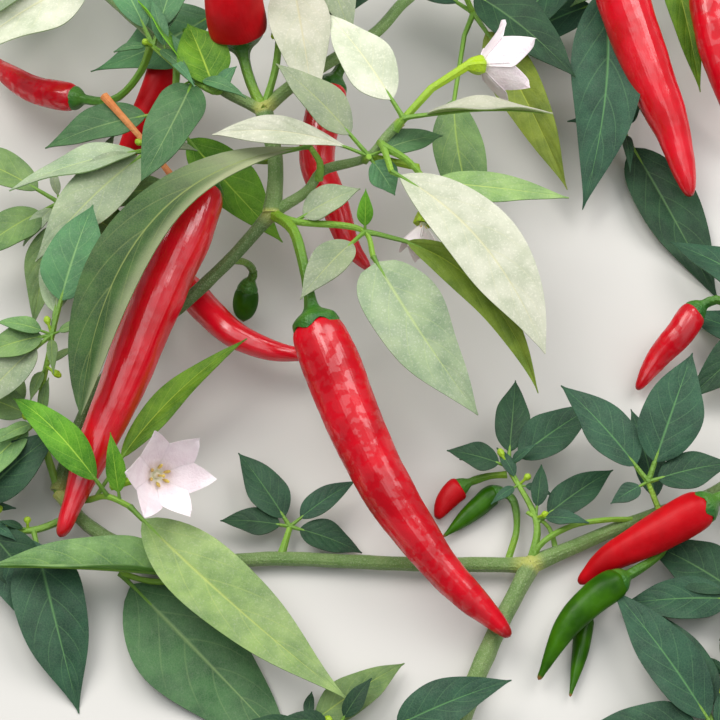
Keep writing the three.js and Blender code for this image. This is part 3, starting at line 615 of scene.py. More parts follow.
# A darker copy of the bark for the rising bough, which lies in shade: painted shade.
SHADED_BARK = tissue_finish("shaded_green_stem", paint(62, 90, 34), paint(64, 90, 38), paint(84, 108, 56), 0.6,
                          0.1, 0.5)
TWIG_GREEN = tissue_finish("green_twig", paint(96, 138, 46), paint(136, 178, 54), paint(120, 160, 62), 0.5)
CALYX_GREEN = tissue_finish("green_calyx", paint(124, 158, 40), paint(30, 92, 26), paint(84, 132, 38), 0.35)
LIME_GREEN = tissue_finish("lime_stalk", paint(120, 160, 40), paint(166, 196, 16), paint(146, 180, 50), 0.4)
PITH = tissue_finish("cut_pith", paint(198, 206, 160), paint(198, 206, 160), paint(222, 224, 190), 0.8)


# %% [markdown]
# ## Stems
# Each stem runs from fork to fork. It has five low ridges, thickens at the forks where a bud or
# a branch once pushed out, and tapers evenly between. The table of stems says where each one goes.

# %% The stems' places
LOW_FORK = (51, -61.5, 6)
RIGHT_END = (126, -10, 12)
LEFT_NODE = (-90.5, -39.5, 8)
MIDDLE_NODE = (-26.4, 44, 40)
TOP_FORK = (-29, 75, 52)
FRONT_NODE = (2.7, 61, 52)
FLOWER_NODE = (12.3, 71.4, 57)
TOP_RIGHT_NODE = (69.6, 121.5, 40)
TOP_LEFT_END = (-80, 113, 36)

STEMS = {
    "main_stem": dict(line=[CUT_END, (37, -90, 4.6), LOW_FORK], foot=2.9, tip=2.5),
    "left_bough": dict(
        line=[LOW_FORK, (12, -61, 4.6), (-24, -59.5, 4.2), (-57, -60, 4.2), (-81, -50, 5.5), LEFT_NODE],
        foot=2.2, tip=2),
    "right_bough": dict(
        line=[LOW_FORK, (84, -48, 5), (104, -41, 5.5), (119, -30, 7.5), RIGHT_END], foot=2.3, tip=1.8),
    "rising_bough": dict(
        line=[LEFT_NODE, (-86, -25, 11), (-78, -8, 15), (-66, 6, 20), (-52.8, 17, 26), (-39, 30, 33),
              MIDDLE_NODE],
        foot=2.2, tip=2),
    "crown_stem": dict(line=[MIDDLE_NODE, (-25.5, 60, 46), TOP_FORK], foot=2.5, tip=2.3),
    "crown_left_bough": dict(
        line=[TOP_FORK, (-41, 81, 50), (-54.6, 90.6, 46), (-69, 103, 41), TOP_LEFT_END], foot=1.8, tip=1.3),
    "crown_right_bough": dict(
        line=[TOP_FORK, (-20, 82.5, 50), (-8, 90, 48), (4.5, 98, 46), (14, 108, 44), (26, 116, 42),
              (48, 121, 41), TOP_RIGHT_NODE],
        foot=2.1, tip=1.7),
    "front_shoot": dict(
        line=[MIDDLE_NODE, (-15.6, 51, 43), (-11.5, 56.5, 46), FRONT_NODE, (8, 67, 55), FLOWER_NODE],
        foot=1.7, tip=1.3),
}


# %% Building the stems
RING_GAP = 2
NODE_REACH = 5


def limb(places, foot, tip, sides=14, swell=0.22, seed=1):
    """A stem or twig: a tapering turned body with ridges and thick ends, laid along its places."""
    path = path_through(places)
    count = max(4, round(path.length / RING_GAP))
    reach = NODE_REACH / path.length

    def radius(share):
        node_swell = math.exp(-(share / reach) ** 2) + math.exp(-((1 - share) / reach) ** 2)
        return (foot + (tip - foot) * share) * (1 + swell * node_swell)

    profile = [(0, 0)] + [(i / count, radius(i / count)) for i in range(count + 1)] + [(1, 0)]
    part = turned(profile, sides, lambda angle, share: (1 + 0.05 * math.cos(5 * angle), 0))
    cap = part.verts.layers.float["under"]
    for vert in part.verts:
        vert[cap] = vert.co.z < 1e-6 and vert.co.to_2d().length < foot * 0.8
    lay_along(part.verts, path)
    lump(part, 7, foot * 0.12, seed)
    keep_up(part)
    return part


for order, (name, stem) in enumerate(STEMS.items()):
    whole = new_part()
    part = limb(stem["line"], stem["foot"], stem["tip"], seed=order + 1)
    cap = part.verts.layers.float["under"]
    for face in part.faces:
        face.material_index = int(name == "main_stem" and any(vert[cap] for vert in face.verts))
    join(whole, part)
    # The rising bough takes the darker bark, which is painted shade.
    piece(whole, name + "_bark", [SHADED_BARK if name == "rising_bough" else BARK, PITH], "stem", name)
print("stems:", {name: count for name, count in pieces.items()})

# %% [markdown]
# ## Fruits
# A chilli hangs from a bent stalk. Its body is a long turned cone with round shoulders, bent as it
# grew, and never quite even: shallow dents run along it and the last bit before the tip is wrinkled.
# Stalk and body follow one line, so the calyx sits square on the shoulders.

# %% The fruits' places
RED_FRUITS = {
    "middle_chilli": dict(
        girth=17, stalk=[MIDDLE_NODE, (-20, 39, 45), (-16.5, 27, 46)],
        body=[(-13.5, 12, 43), (-4, -12.5, 36), (8, -38.5, 27), (23, -60.5, 19), (45, -83, 10.5)]),
    "left_chilli": dict(
        girth=17, skin="even", stalk=[(-27.6, 60.6, 46), (-37, 60, 46)],
        body=[(-46, 53.5, 43.5), (-53.5, 36, 40.5), (-61.5, 18, 36.5), (-72, -9, 25.5), (-80, -27, 18.5),
              (-90, -53, 10)]),
    "upright_chilli": dict(
        girth=18.5, skin="dull", stalk=[TOP_FORK, (-33, 84, 53)],
        body=[(-36, 96, 57), (-37.5, 106, 68), (-38.5, 122, 81), (-38, 140, 88.5)]),
    "top_right_chilli": dict(
        girth=17, skin="even", stalk=[TOP_RIGHT_NODE, (73.5, 127, 45)],
        body=[(76, 119, 43), (79, 108, 38), (87.6, 84, 27), (94.5, 66, 17.5), (99, 49, 10)]),
    "corner_chilli": dict(
        girth=14, stalk=[(97, 124, 29.5), (101, 121, 34)],
        body=[(104, 114, 32), (106, 100, 27), (110, 84, 19), (116, 66, 8)]),
    "hidden_chilli": dict(
        girth=12, skin="even", stalk=[(-9, 89.5, 47), (-4, 92, 42)],
        body=[(-8, 83, 36), (-11, 73, 33), (-12.6, 58.5, 27), (-7.5, 46.5, 21), (-3, 34.5, 15),
              (3, 27, 10)]),
    "right_chilli": dict(
        girth=9, stalk=[RIGHT_END, (118, 8, 17), (108, 18, 18)],
        body=[(101, 15, 15), (96, 8, 13), (89, 0, 8), (83, -9, 4.5)]),
    "low_right_chilli": dict(
        girth=12, skin="dull", stalk=[(113, -36, 6.5), (113, -38, 17)],
        body=[(104, -43.5, 20), (96, -48, 17), (84, -54.5, 13.5), (74, -60, 10), (65.5, -67, 6)]),
}
SMALL_RED_FRUITS = {
    "rear_chilli": dict(
        girth=9.5, skin="even", stalk=[(-64, 8, 21), (-65, 19, 18), (-61, 26, 17)],
        body=[(-55, 24, 17), (-46, 15, 17), (-37.5, 7.5, 17), (-27, 3, 15), (-12, 1, 12)]),
    "far_left_chilli": dict(
        girth=9.6, stalk=[(-62, 96.7, 43.6), (-66, 86, 34), (-74, 78, 26)],
        body=[(-85, 78.5, 22), (-96, 80.5, 19), (-104, 84.5, 15), (-112, 91, 10)]),
    "shaded_chilli": dict(
        girth=10, skin="dull", stalk=[(-55, 91, 45), (-51, 98, 38)],
        body=[(-55.5, 97, 30), (-61, 82, 24), (-68, 66, 15), (-76, 50, 7)]),
    "small_chilli": dict(
        girth=7, skin="dull", stalk=[(44.1, -34.4, 8.8), (38, -35, 8)],
        body=[(30.3, -38, 5.5), (26, -42, 4.5), (23, -47.5, 3.6)]),
}
GREEN_FRUITS = {
    "green_chilli": dict(
        girth=9.5, stalk=[(95, -44.5, 5), (93, -51, 5.5), (90, -58, 9)],
        body=[(78, -66, 13), (70, -71.5, 12.5), (62, -80, 10.5), (53.5, -96, 5)]),
    "hanging_green_chilli": dict(
        girth=5.6, stalk=[(80, -49.5, 5), (77, -60, 4), (72, -70, 3.6)],
        body=[(68, -77, 3.2), (66, -88, 3), (63, -101, 2.8)]),
    "small_green_chilli": dict(
        girth=6.5, stalk=[(44, -61.3, 5.8), (47, -50, 5), (45.5, -41.5, 5)],
        body=[(41, -40, 4.5), (35, -44.5, 4), (25, -53, 3.4)]),
    "young_chilli": dict(
        girth=8, stalk=[(-39, 30, 33), (-34, 29, 25), (-32, 26, 18)],
        body=[(-33.5, 22, 13), (-34.5, 17, 9), (-35, 11.5, 6)]),
}

# %% The body of a fruit
FRUIT_SIDES = 60
FRUIT_PROFILE = [
    (0, 0), (0, 0.6), (0.03, 0.88), (0.09, 1), (0.3, 0.98), (0.52, 0.87), (0.72, 0.69), (0.88, 0.46),
    (0.97, 0.26), (0.995, 0.12), (1, 0),
]
YOUNG_FRUIT_PROFILE = [(0, 0), (0, 0.4), (0.12, 0.85), (0.35, 1), (0.65, 0.92), (0.88, 0.55), (1, 0)]
GREEN_FRUIT_PROFILE = [
    (0, 0), (0, 0.6), (0.03, 0.88), (0.1, 1), (0.3, 0.96), (0.5, 0.82), (0.68, 0.6), (0.82, 0.38),
    (0.92, 0.22), (0.985, 0.12), (1, 0),
]


def fruit_body(fruit, seed):
    """The body of a fruit, with shallow dents and a wrinkled end."""
    path = path_through(fruit["stalk"] + fruit["body"], len(fruit["stalk"]))
    outline = fruit.get("outline", FRUIT_PROFILE)
    half = fruit["girth"] / 2
    points = smooth_points([Vector((share * half, 0, at * path.length)) for at, share in outline], fine=14)
    profile = [(min(point.z / path.length, 1), max(point.x, 0)) for point in points]
    profile = [pair for pair, after in zip(profile, profile[1:]) if pair != after] + [(1, 0)]
    start = random.Random(seed).uniform(0, math.tau)

    def shape(angle, share):
        furrow = 0.02 * math.cos(3 * angle + start + 2 * share) + 0.012 * math.cos(5 * angle - start)
        wrinkle = 0.05 * max(0, share - 0.7) * math.sin(60 * share + 2 * math.sin(angle))
        return 1 + furrow + wrinkle, 0

    part = turned(profile, FRUIT_SIDES, shape)
    lay_along(part.verts, path)
    lump(part, 14, half * 0.06, seed)
    lump(part, 5, half * 0.014, seed + 5)
    keep_up(part)
    return part


# %% [markdown]
# The stalk is ridged and widens into the calyx, a green cap that grips the shoulders. Its rim is
# wavy, with a low tooth for each of the five sepals it grew from. The rim turns back in, so that the
# cap has a real thin edge that lies over the skin.

# %% The stalk and calyx of a fruit
STALK_RADIUS = 1.9
CALYX_LENGTH = 5
CALYX_SHARE = 0.78
LONGEST_LIP = 2
SEPALS = 5
STALK_SIDES = 30


def fruit_stalk(fruit, seed):
    """The ridged stalk of a fruit, which widens into its calyx."""
    path = path_through(fruit["stalk"] + fruit["body"], 0, len(fruit["stalk"]))
    cup = min(0.5, CALYX_LENGTH / path.length)
    rim = fruit["girth"] / 2 * CALYX_SHARE
    lip = min(LONGEST_LIP, fruit["girth"] * 0.12) / path.length
    thick = STALK_RADIUS * min(1, fruit["girth"] / 22 + 0.3)
    neck = [(0, thick * 0.95), (0.5 * (1 - cup), thick * 0.85), (1 - cup, thick * 1.1)]
    bell = [(1 - cup * 0.6, rim * 0.46), (1 - cup * 0.3, rim * 0.78), (1, rim * 1.02), (1 + lip, rim * 1.1)]
    points = smooth_points([Vector((r, 0, at * path.length)) for at, r in neck + bell], fine=6)
    outer = [(point.z / path.length, point.x) for point in points]
    inner = [(1 + lip * 1.05, rim * 1.04), (1 + lip * 0.4, rim * 0.92), (1, rim * 0.5), (1, 0)]
    start = random.Random(seed).uniform(0, math.tau)

    def shape(angle, share):
        ridge = 0.07 * math.cos(SEPALS * angle + start) * (1 - 0.6 * max(0, share - 1 + cup) / cup)
        tooth = 0.35 + 0.65 * math.cos(SEPALS * angle + start) + 0.2 * math.sin(3 * angle + start)
        return 1 + ridge, tooth * lip * 0.9 * max(0, (share - 1) / lip) if share > 1 else 0

    part = turned([(0, 0)] + outer + inner, STALK_SIDES, shape)
    lay_along(part.verts, path)
    lump(part, 4, 0.12, seed)
    keep_up(part)
    return part


# %% Building the fruits
for fruit in GREEN_FRUITS.values():
    fruit["skin"] = "green"
    fruit["outline"] = GREEN_FRUIT_PROFILE
GREEN_FRUITS["young_chilli"]["outline"] = YOUNG_FRUIT_PROFILE
FRUITS = {**RED_FRUITS, **SMALL_RED_FRUITS, **GREEN_FRUITS}

for order, (name, fruit) in enumerate(FRUITS.items()):
    slot = "green_fruit" if name in GREEN_FRUITS else "red_fruit"
    whole = new_part()
    join(whole, fruit_body(fruit, order + 1))
    piece(whole, name + "_skin", [SKINS[fruit.get("skin", "waxy")]], slot, name)
    whole = new_part()
    join(whole, fruit_stalk(fruit, order + 1))
    stalk_node = [name + "_stalk"] if name + "_stalk" in frame["nodes"] else []
    piece(whole, name + "_calyx", [CALYX_GREEN], "green_stalk", *stalk_node)
print("fruits:", len(FRUITS), "triangles:", sum(pieces.values()))

# %% [markdown]
# ## Flowers
# The flower is a white star on a swollen stalk. Its petals are joined at the root, each is drawn out
# to a point and curls back a little, and a ring of yellow anthers stands round the pistil. Each petal
# is a grid cut to its outline, so it can fold and curl by itself.

# %% The flowers' places
FLOWERS = {
    "top_flower": dict(
        petals=5, span=36, cup=0.75, fused=0.37, stalk=[FLOWER_NODE, (22, 82, 62), (28, 87, 64)],
        heart=(36, 88.5, 63), faces=(30, 1, -15)),
    "left_flower": dict(
        petals=6, span=39, cup=0.85, fused=0.41, stalk=[(-74.5, -38, 18), (-71.5, -37, 20)],
        heart=(-61.5, -34.5, 24), faces=(9, -1, 20)),
    "nodding_flower": dict(
        petals=5, span=20, cup=1.1, fused=0.5, stalk=[FRONT_NODE, (12, 61, 51), (21, 53, 46)],
        heart=(19, 41, 38), faces=(-3, -16, -4)),
}

# %% The finishes of the flowers
PETAL_WHITE, tree, shader = finish("petal_white", 0.55, Specular_IOR_Level=0.3, Sheen_Weight=0.2,
                                   Subsurface_Weight=0.4, Subsurface_Radius=(0.004, 0.004, 0.004))
tones = mottling(tree, 200, 1500)
white = blend(tree, tones["Soft"], paint(230, 215, 220), paint(240, 229, 232))
white = blend(tree, ramp(tree, attribute(tree, "along"), 0.0, 0.16, 1.0, 0.0), white, paint(222, 228, 180))
tree.links.new(white, shader.inputs["Base Color"])
raise_by(tree, shader, tones["Fine"], 0.3, 0.0003)

ANTHER_YELLOW, tree, shader = finish("anther_yellow", 0.7)
tones = mottling(tree, 600, 2400)
anther = blend(tree, tones["Soft"], paint(226, 206, 92), paint(196, 160, 96))
anther = blend(tree, ramp(tree, attribute(tree, "along"), 0.3, 0.5), paint(240, 236, 214), anther)
tree.links.new(anther, shader.inputs["Base Color"])
raise_by(tree, shader, tones["Fine"], 0.4, 0.0002)
print("flower finishes:", PETAL_WHITE.name, ANTHER_YELLOW.name)


# %% Petals and anthers of a flower
PETAL_THICKNESS = 0.3
STAMENS = 6


def points_of(geometry):
    """The points among the things that an operator gives back."""
    return [item for item in geometry if isinstance(item, bmesh.types.BMVert)]


def facing(flower):
    """The heart of a flower, the way it faces, the turn from upright to that way, and the first petal."""
    heart = seen(flower["heart"])
    ahead = (seen([a + b for a, b in zip(flower["heart"], flower["faces"])]) - heart).normalized()
    turn = UP.rotation_difference(ahead).to_matrix()
    away = turn.inverted() @ (heart - EYE - SHIFT)
    return heart, ahead, turn, math.atan2(away.y, away.x)


def petal(flower, order, first, chance):
    """One petal: a grid cut to a pointed outline, fluted along its middle, with its tip curled back."""
    part = new_part()
    grid = bmesh.ops.create_grid(part, x_segments=10, y_segments=16, size=1, calc_uvs=True)
    span, cup, fused = flower["span"], flower["cup"], flower["fused"]
    opening = math.tan(math.pi / flower["petals"]) * 1.08
    length = span / 2 * chance.uniform(0.95, 1.08)
    curl = chance.uniform(0.1, 0.5)
    lean = chance.uniform(-0.02, 0.02)
    write(part, "along", lambda vert: (vert.co.y + 1) / 2)
    for vert in grid["verts"]:
        across, t = vert.co.x, (vert.co.y + 1) / 2
        lobe = opening * fused * 1.15 * (1 - max(0, (t - fused) / (1 - fused)) ** 1.25)
        half = max(0.12, length * min(opening * t + 0.02, lobe))
        flute = 0.2 * abs(across) ** 1.5 * half * (0.3 + t)
        ripple = 0.6 * across ** 2 * math.sin(7 * t + 2.4 * order + 2 * across)
        flare = 1 - 0.35 * cup * t
        vert.co = Vector((across * half * flare + lean * span * t ** 2, length * t * flare,
                          length * (cup * t - 0.05 * t ** 3 - curl * max(0, t - 0.8))
                          + flute + ripple * t + 0.06 * order))
    shell = bmesh.ops.extrude_face_region(part, geom=part.faces[:])["geom"]
    bmesh.ops.translate(part, vec=(0, 0, -PETAL_THICKNESS), verts=points_of(shell))
    angle = first - math.pi / 2 + math.tau * (order + chance.uniform(-0.03, 0.03)) / flower["petals"]
    bmesh.ops.rotate(part, cent=(0, 0, 0), matrix=Matrix.Rotation(angle, 3, "Z"), verts=part.verts)
    return part


def stamen(angle, span):
    """A filament with its anther, or the pistil where the angle is None."""
    tall = span * (0.2 if angle is None else 0.13)
    rows = [(0, 0), (0, 0.25), (0.5, 0.18), (0.55, 0.42), (0.75, 0.55), (0.95, 0.36), (1, 0)]
    if angle is None:
        rows = [(0, 0), (0, 1.1), (0.25, 0.9), (0.4, 0.35), (0.9, 0.3), (0.95, 0.55), (1, 0)]
    part = turned(rows, 10)
    for vert in part.verts:
        vert.co.z *= tall
        if angle is not None:
            out = span * 0.035 + vert.co.z * 0.35
            vert.co += Vector((math.cos(angle), math.sin(angle), 0)) * out
    return part


def turn_to(whole, turn, heart):
    """Turns an upright flower to the way it faces, and sets it at its heart."""
    for vert in whole.verts:
        vert.co = turn @ vert.co + heart


# %% Building the flowers
for number, (name, flower) in enumerate(FLOWERS.items()):
    heart, ahead, turn, first = facing(flower)
    chance = random.Random(40 + number)
    whole = new_part()
    for order in range(flower["petals"]):
        join(whole, petal(flower, order, first, chance))
    turn_to(whole, turn, heart)
    piece(whole, name + "_petals", [PETAL_WHITE], "petal", name)
    whole = new_part()
    for angle in [None] + [math.tau * (k + 0.5) / STAMENS for k in range(STAMENS)]:
        join(whole, stamen(angle, flower["span"]))
    turn_to(whole, turn, heart)
    piece(whole, name + "_anthers", [ANTHER_YELLOW], "petal")
    places = [seen(place) for place in flower["stalk"]] + [heart - ahead * 4, heart - ahead * 0.2]
    path = Path(smooth_points(places))
    cup = 4 / path.length
    rows = [(0, 0), (0, 1.2), (0.5 - cup / 2, 1.3), (1 - cup * 1.1, 1.6), (1 - cup * 0.8, 2.3),
            (1 - cup * 0.3, 2.8), (1, 3), (1 + 0.6 / path.length, 2.95), (1, 2.2), (1, 0)]
    part = turned(rows, 20, lambda angle, share: (1 + 0.07 * math.cos(6 * angle), 0))
    lay_along(part.verts, path)
    whole = new_part()
    join(whole, part)
    piece(whole, name + "_calyx", [LIME_GREEN], "green_stalk", name + "_stalk")
print("flowers:", list(FLOWERS))

# %% [markdown]
# ## Thin stalks
# A dry brown stalk lies across the left shoulder, and two thin green ones arch over the low fork. They
# are too thin for solids of their own.

# %% Dry and thin stalks
DRY_BROWN = tissue_finish("dry_brown", paint(202, 122, 66), paint(168, 98, 56), paint(216, 150, 92), 0.7)
dry, thin = new_part(), new_part()
for whole, foot, tip, places in (
        (dry, 1.1, 0.9, [(-76.8, 79.2, 41), (-70, 71.5, 40), (-63, 63.5, 38.5), (-55.5, 54, 38)]),
        (thin, 0.9, 0.8, [LOW_FORK, (54, -55.5, 9), (63, -50, 10), (74, -48, 9), (84, -48, 5)]),
        (thin, 0.8, 0.5, [(59, -58.5, 5.5), (56.5, -50, 8), (50, -45.6, 9.5)])):
    join(whole, limb(places, foot, tip, sides=10))
piece(dry, "dry_stalk", [DRY_BROWN], "stem")
piece(thin, "thin_stalks", [TWIG_GREEN], "stem")
print("thin stalks:", pieces["dry_stalk"] + pieces["thin_stalks"], "triangles")

# %% [markdown]
# ## Leaves
# A chilli leaf is round at its root, drawn out to a point, folded a little along the midrib and
# puckered between the side veins. It could be a flat card with a pattern, but the light would give
# that away, so each blade is a grid that is cut to the outline, bulged between the veins, given a thin
# solid edge by an extrusion, and then laid along its own arched line.

# %% The outline and the line of a leaf
LEAF_ROOT_POWER = 0.75
LEAF_TIP_POWER = 1.3
LEAF_FOLD = 14
LEAF_ARCH = 0.08
PETIOLE_RADIUS = 0.85
LEAF_THICKNESS = 0.4


def leaf_outline(t, root, end):
    """The half width of a blade along its length, as a share of the greatest."""
    def raw(s):
        return s ** root * (1 - s) ** end
    return raw(t) / raw(root / (root + end))


def leaf_line(shape):
    """The points of a leaf's line from its node to its tip, arched up and bent sideways."""
    turn = math.radians(shape["heading"])
    reach = shape["petiole"] + shape["blade"]
    across, up, _ = shape["node"]
    foot = seen(shape["node"])
    end = seen((across + reach * math.cos(turn), up + reach * math.sin(turn), shape["tip"]))
    chord = end - foot
    left = Vector((-chord.y, chord.x, 0)).normalized()
    middle = foot.lerp(end, 0.5) + left * 2 * shape.get("bend", 0) * chord.length
    middle += UP * 2 * shape.get("arch", LEAF_ARCH) * chord.length
    return [(foot * (1 - t) + middle * t) * (1 - t) + (middle * (1 - t) + end * t) * t
            for t in (k / 40 for k in range(41))]


# %% One leaf
def blade(shape, path, chance, columns, rows):
    """The blade: a grid cut to the outline, bulged between the veins, with a thin solid edge."""
    part = new_part()
    grid = bmesh.ops.create_grid(part, x_segments=columns, y_segments=rows, size=1, calc_uvs=True)["verts"]
    start = shape["petiole"] / (shape["petiole"] + shape["blade"])
    width, root, end = shape["width"], shape.get("root", LEAF_ROOT_POWER), shape.get("end", LEAF_TIP_POWER)
    fold = math.radians(shape.get("fold", LEAF_FOLD))
    wave = [chance.uniform(0, math.tau), chance.uniform(0, math.tau)]
    twist = chance.uniform(-0.16, 0.16)
    lopsided = chance.uniform(-0.1, 0.1)
    for vert in grid:
        across, t = vert.co.x, (vert.co.y + 1) / 2
        away = abs(across)
        half = max(0.14, leaf_outline(t, root, end) * width / 2)
        margin = 1 + lopsided * across + 0.035 * math.sin(12 * t + 2 * wave[across > 0])
        x = across * half * margin
        lift = away * half * math.sin(fold) * (1.2 - 0.4 * away)
        bulge = abs(math.sin(math.pi * (VEIN_PAIRS * t - VEIN_SWEEP * away ** 1.2))) - 0.5
        lift += 0.004 * width * bulge * 4 * away * (1 - away) * min(1, 3 * t)
        lift += 0.09 * half * away ** 3 * math.sin(9 * t + wave[across > 0])
        lift += 0.6 * twist * x * (t - 0.4)
        vert.co = Vector((x * math.cos(fold), lift, start + t * (1 - start)))
    shell = bmesh.ops.extrude_face_region(part, geom=part.faces[:])["geom"]
    under = part.verts.layers.float["under"]
    for vert in points_of(shell):
        vert.co.y -= LEAF_THICKNESS
        vert[under] = 1
    lay_along(part.verts, path)
    for vert in part.verts:
        vert.co.z = max(vert.co.z, 0.05 if vert[under] else 0.45)
    return part


def leaf_stalk(shape, path, sides):
    """The stalk of a leaf, which runs on under the blade as its midrib and thins out."""
    start = shape["petiole"] / (shape["petiole"] + shape["blade"])
    thick = PETIOLE_RADIUS * min(1, 0.35 + shape["width"] / 22)
    rows = [(0, 0), (0, thick * 1.25), (start * 0.3, thick), (start, thick * 0.85)]
    rows += [(start + (1 - start) * t, thick * (0.8 - 0.7 * t)) for t in (0.15, 0.3, 0.45, 0.6, 0.75, 0.9)]
    part = turned(rows + [(start + (1 - start) * 0.94, 0)], sides)
    for vert in part.verts:
        sunk = min(1, max(0, (vert.co.z - start * 0.7) / (start * 0.3 + 0.04)))
        vert.co.y -= sunk * (0.35 + thick * 0.25)
    lay_along(part.verts, path)
    keep_up(part, 0.03)
    return part


# %% [markdown]
# ## Sprays
# A spray is a twig with its leaves. Each leaf has a heading in the picture, the lengths of its stalk
# and blade, a width and the height of its tip; a tuft is a ring of leaves at a twig's end, turned by
# even steps with a seeded play. Every spray names the finish of its leaves.

# %% The sprays' places
def leaf(node, heading, petiole, blade, width, tip, **more):
    return dict(node=node, heading=heading, petiole=petiole, blade=blade, width=width, tip=tip, **more)


def ring(node, count, first, blade, rise, seed, **more):
    return dict(node=node, count=count, first=first, blade=blade, rise=rise, seed=seed, **more)


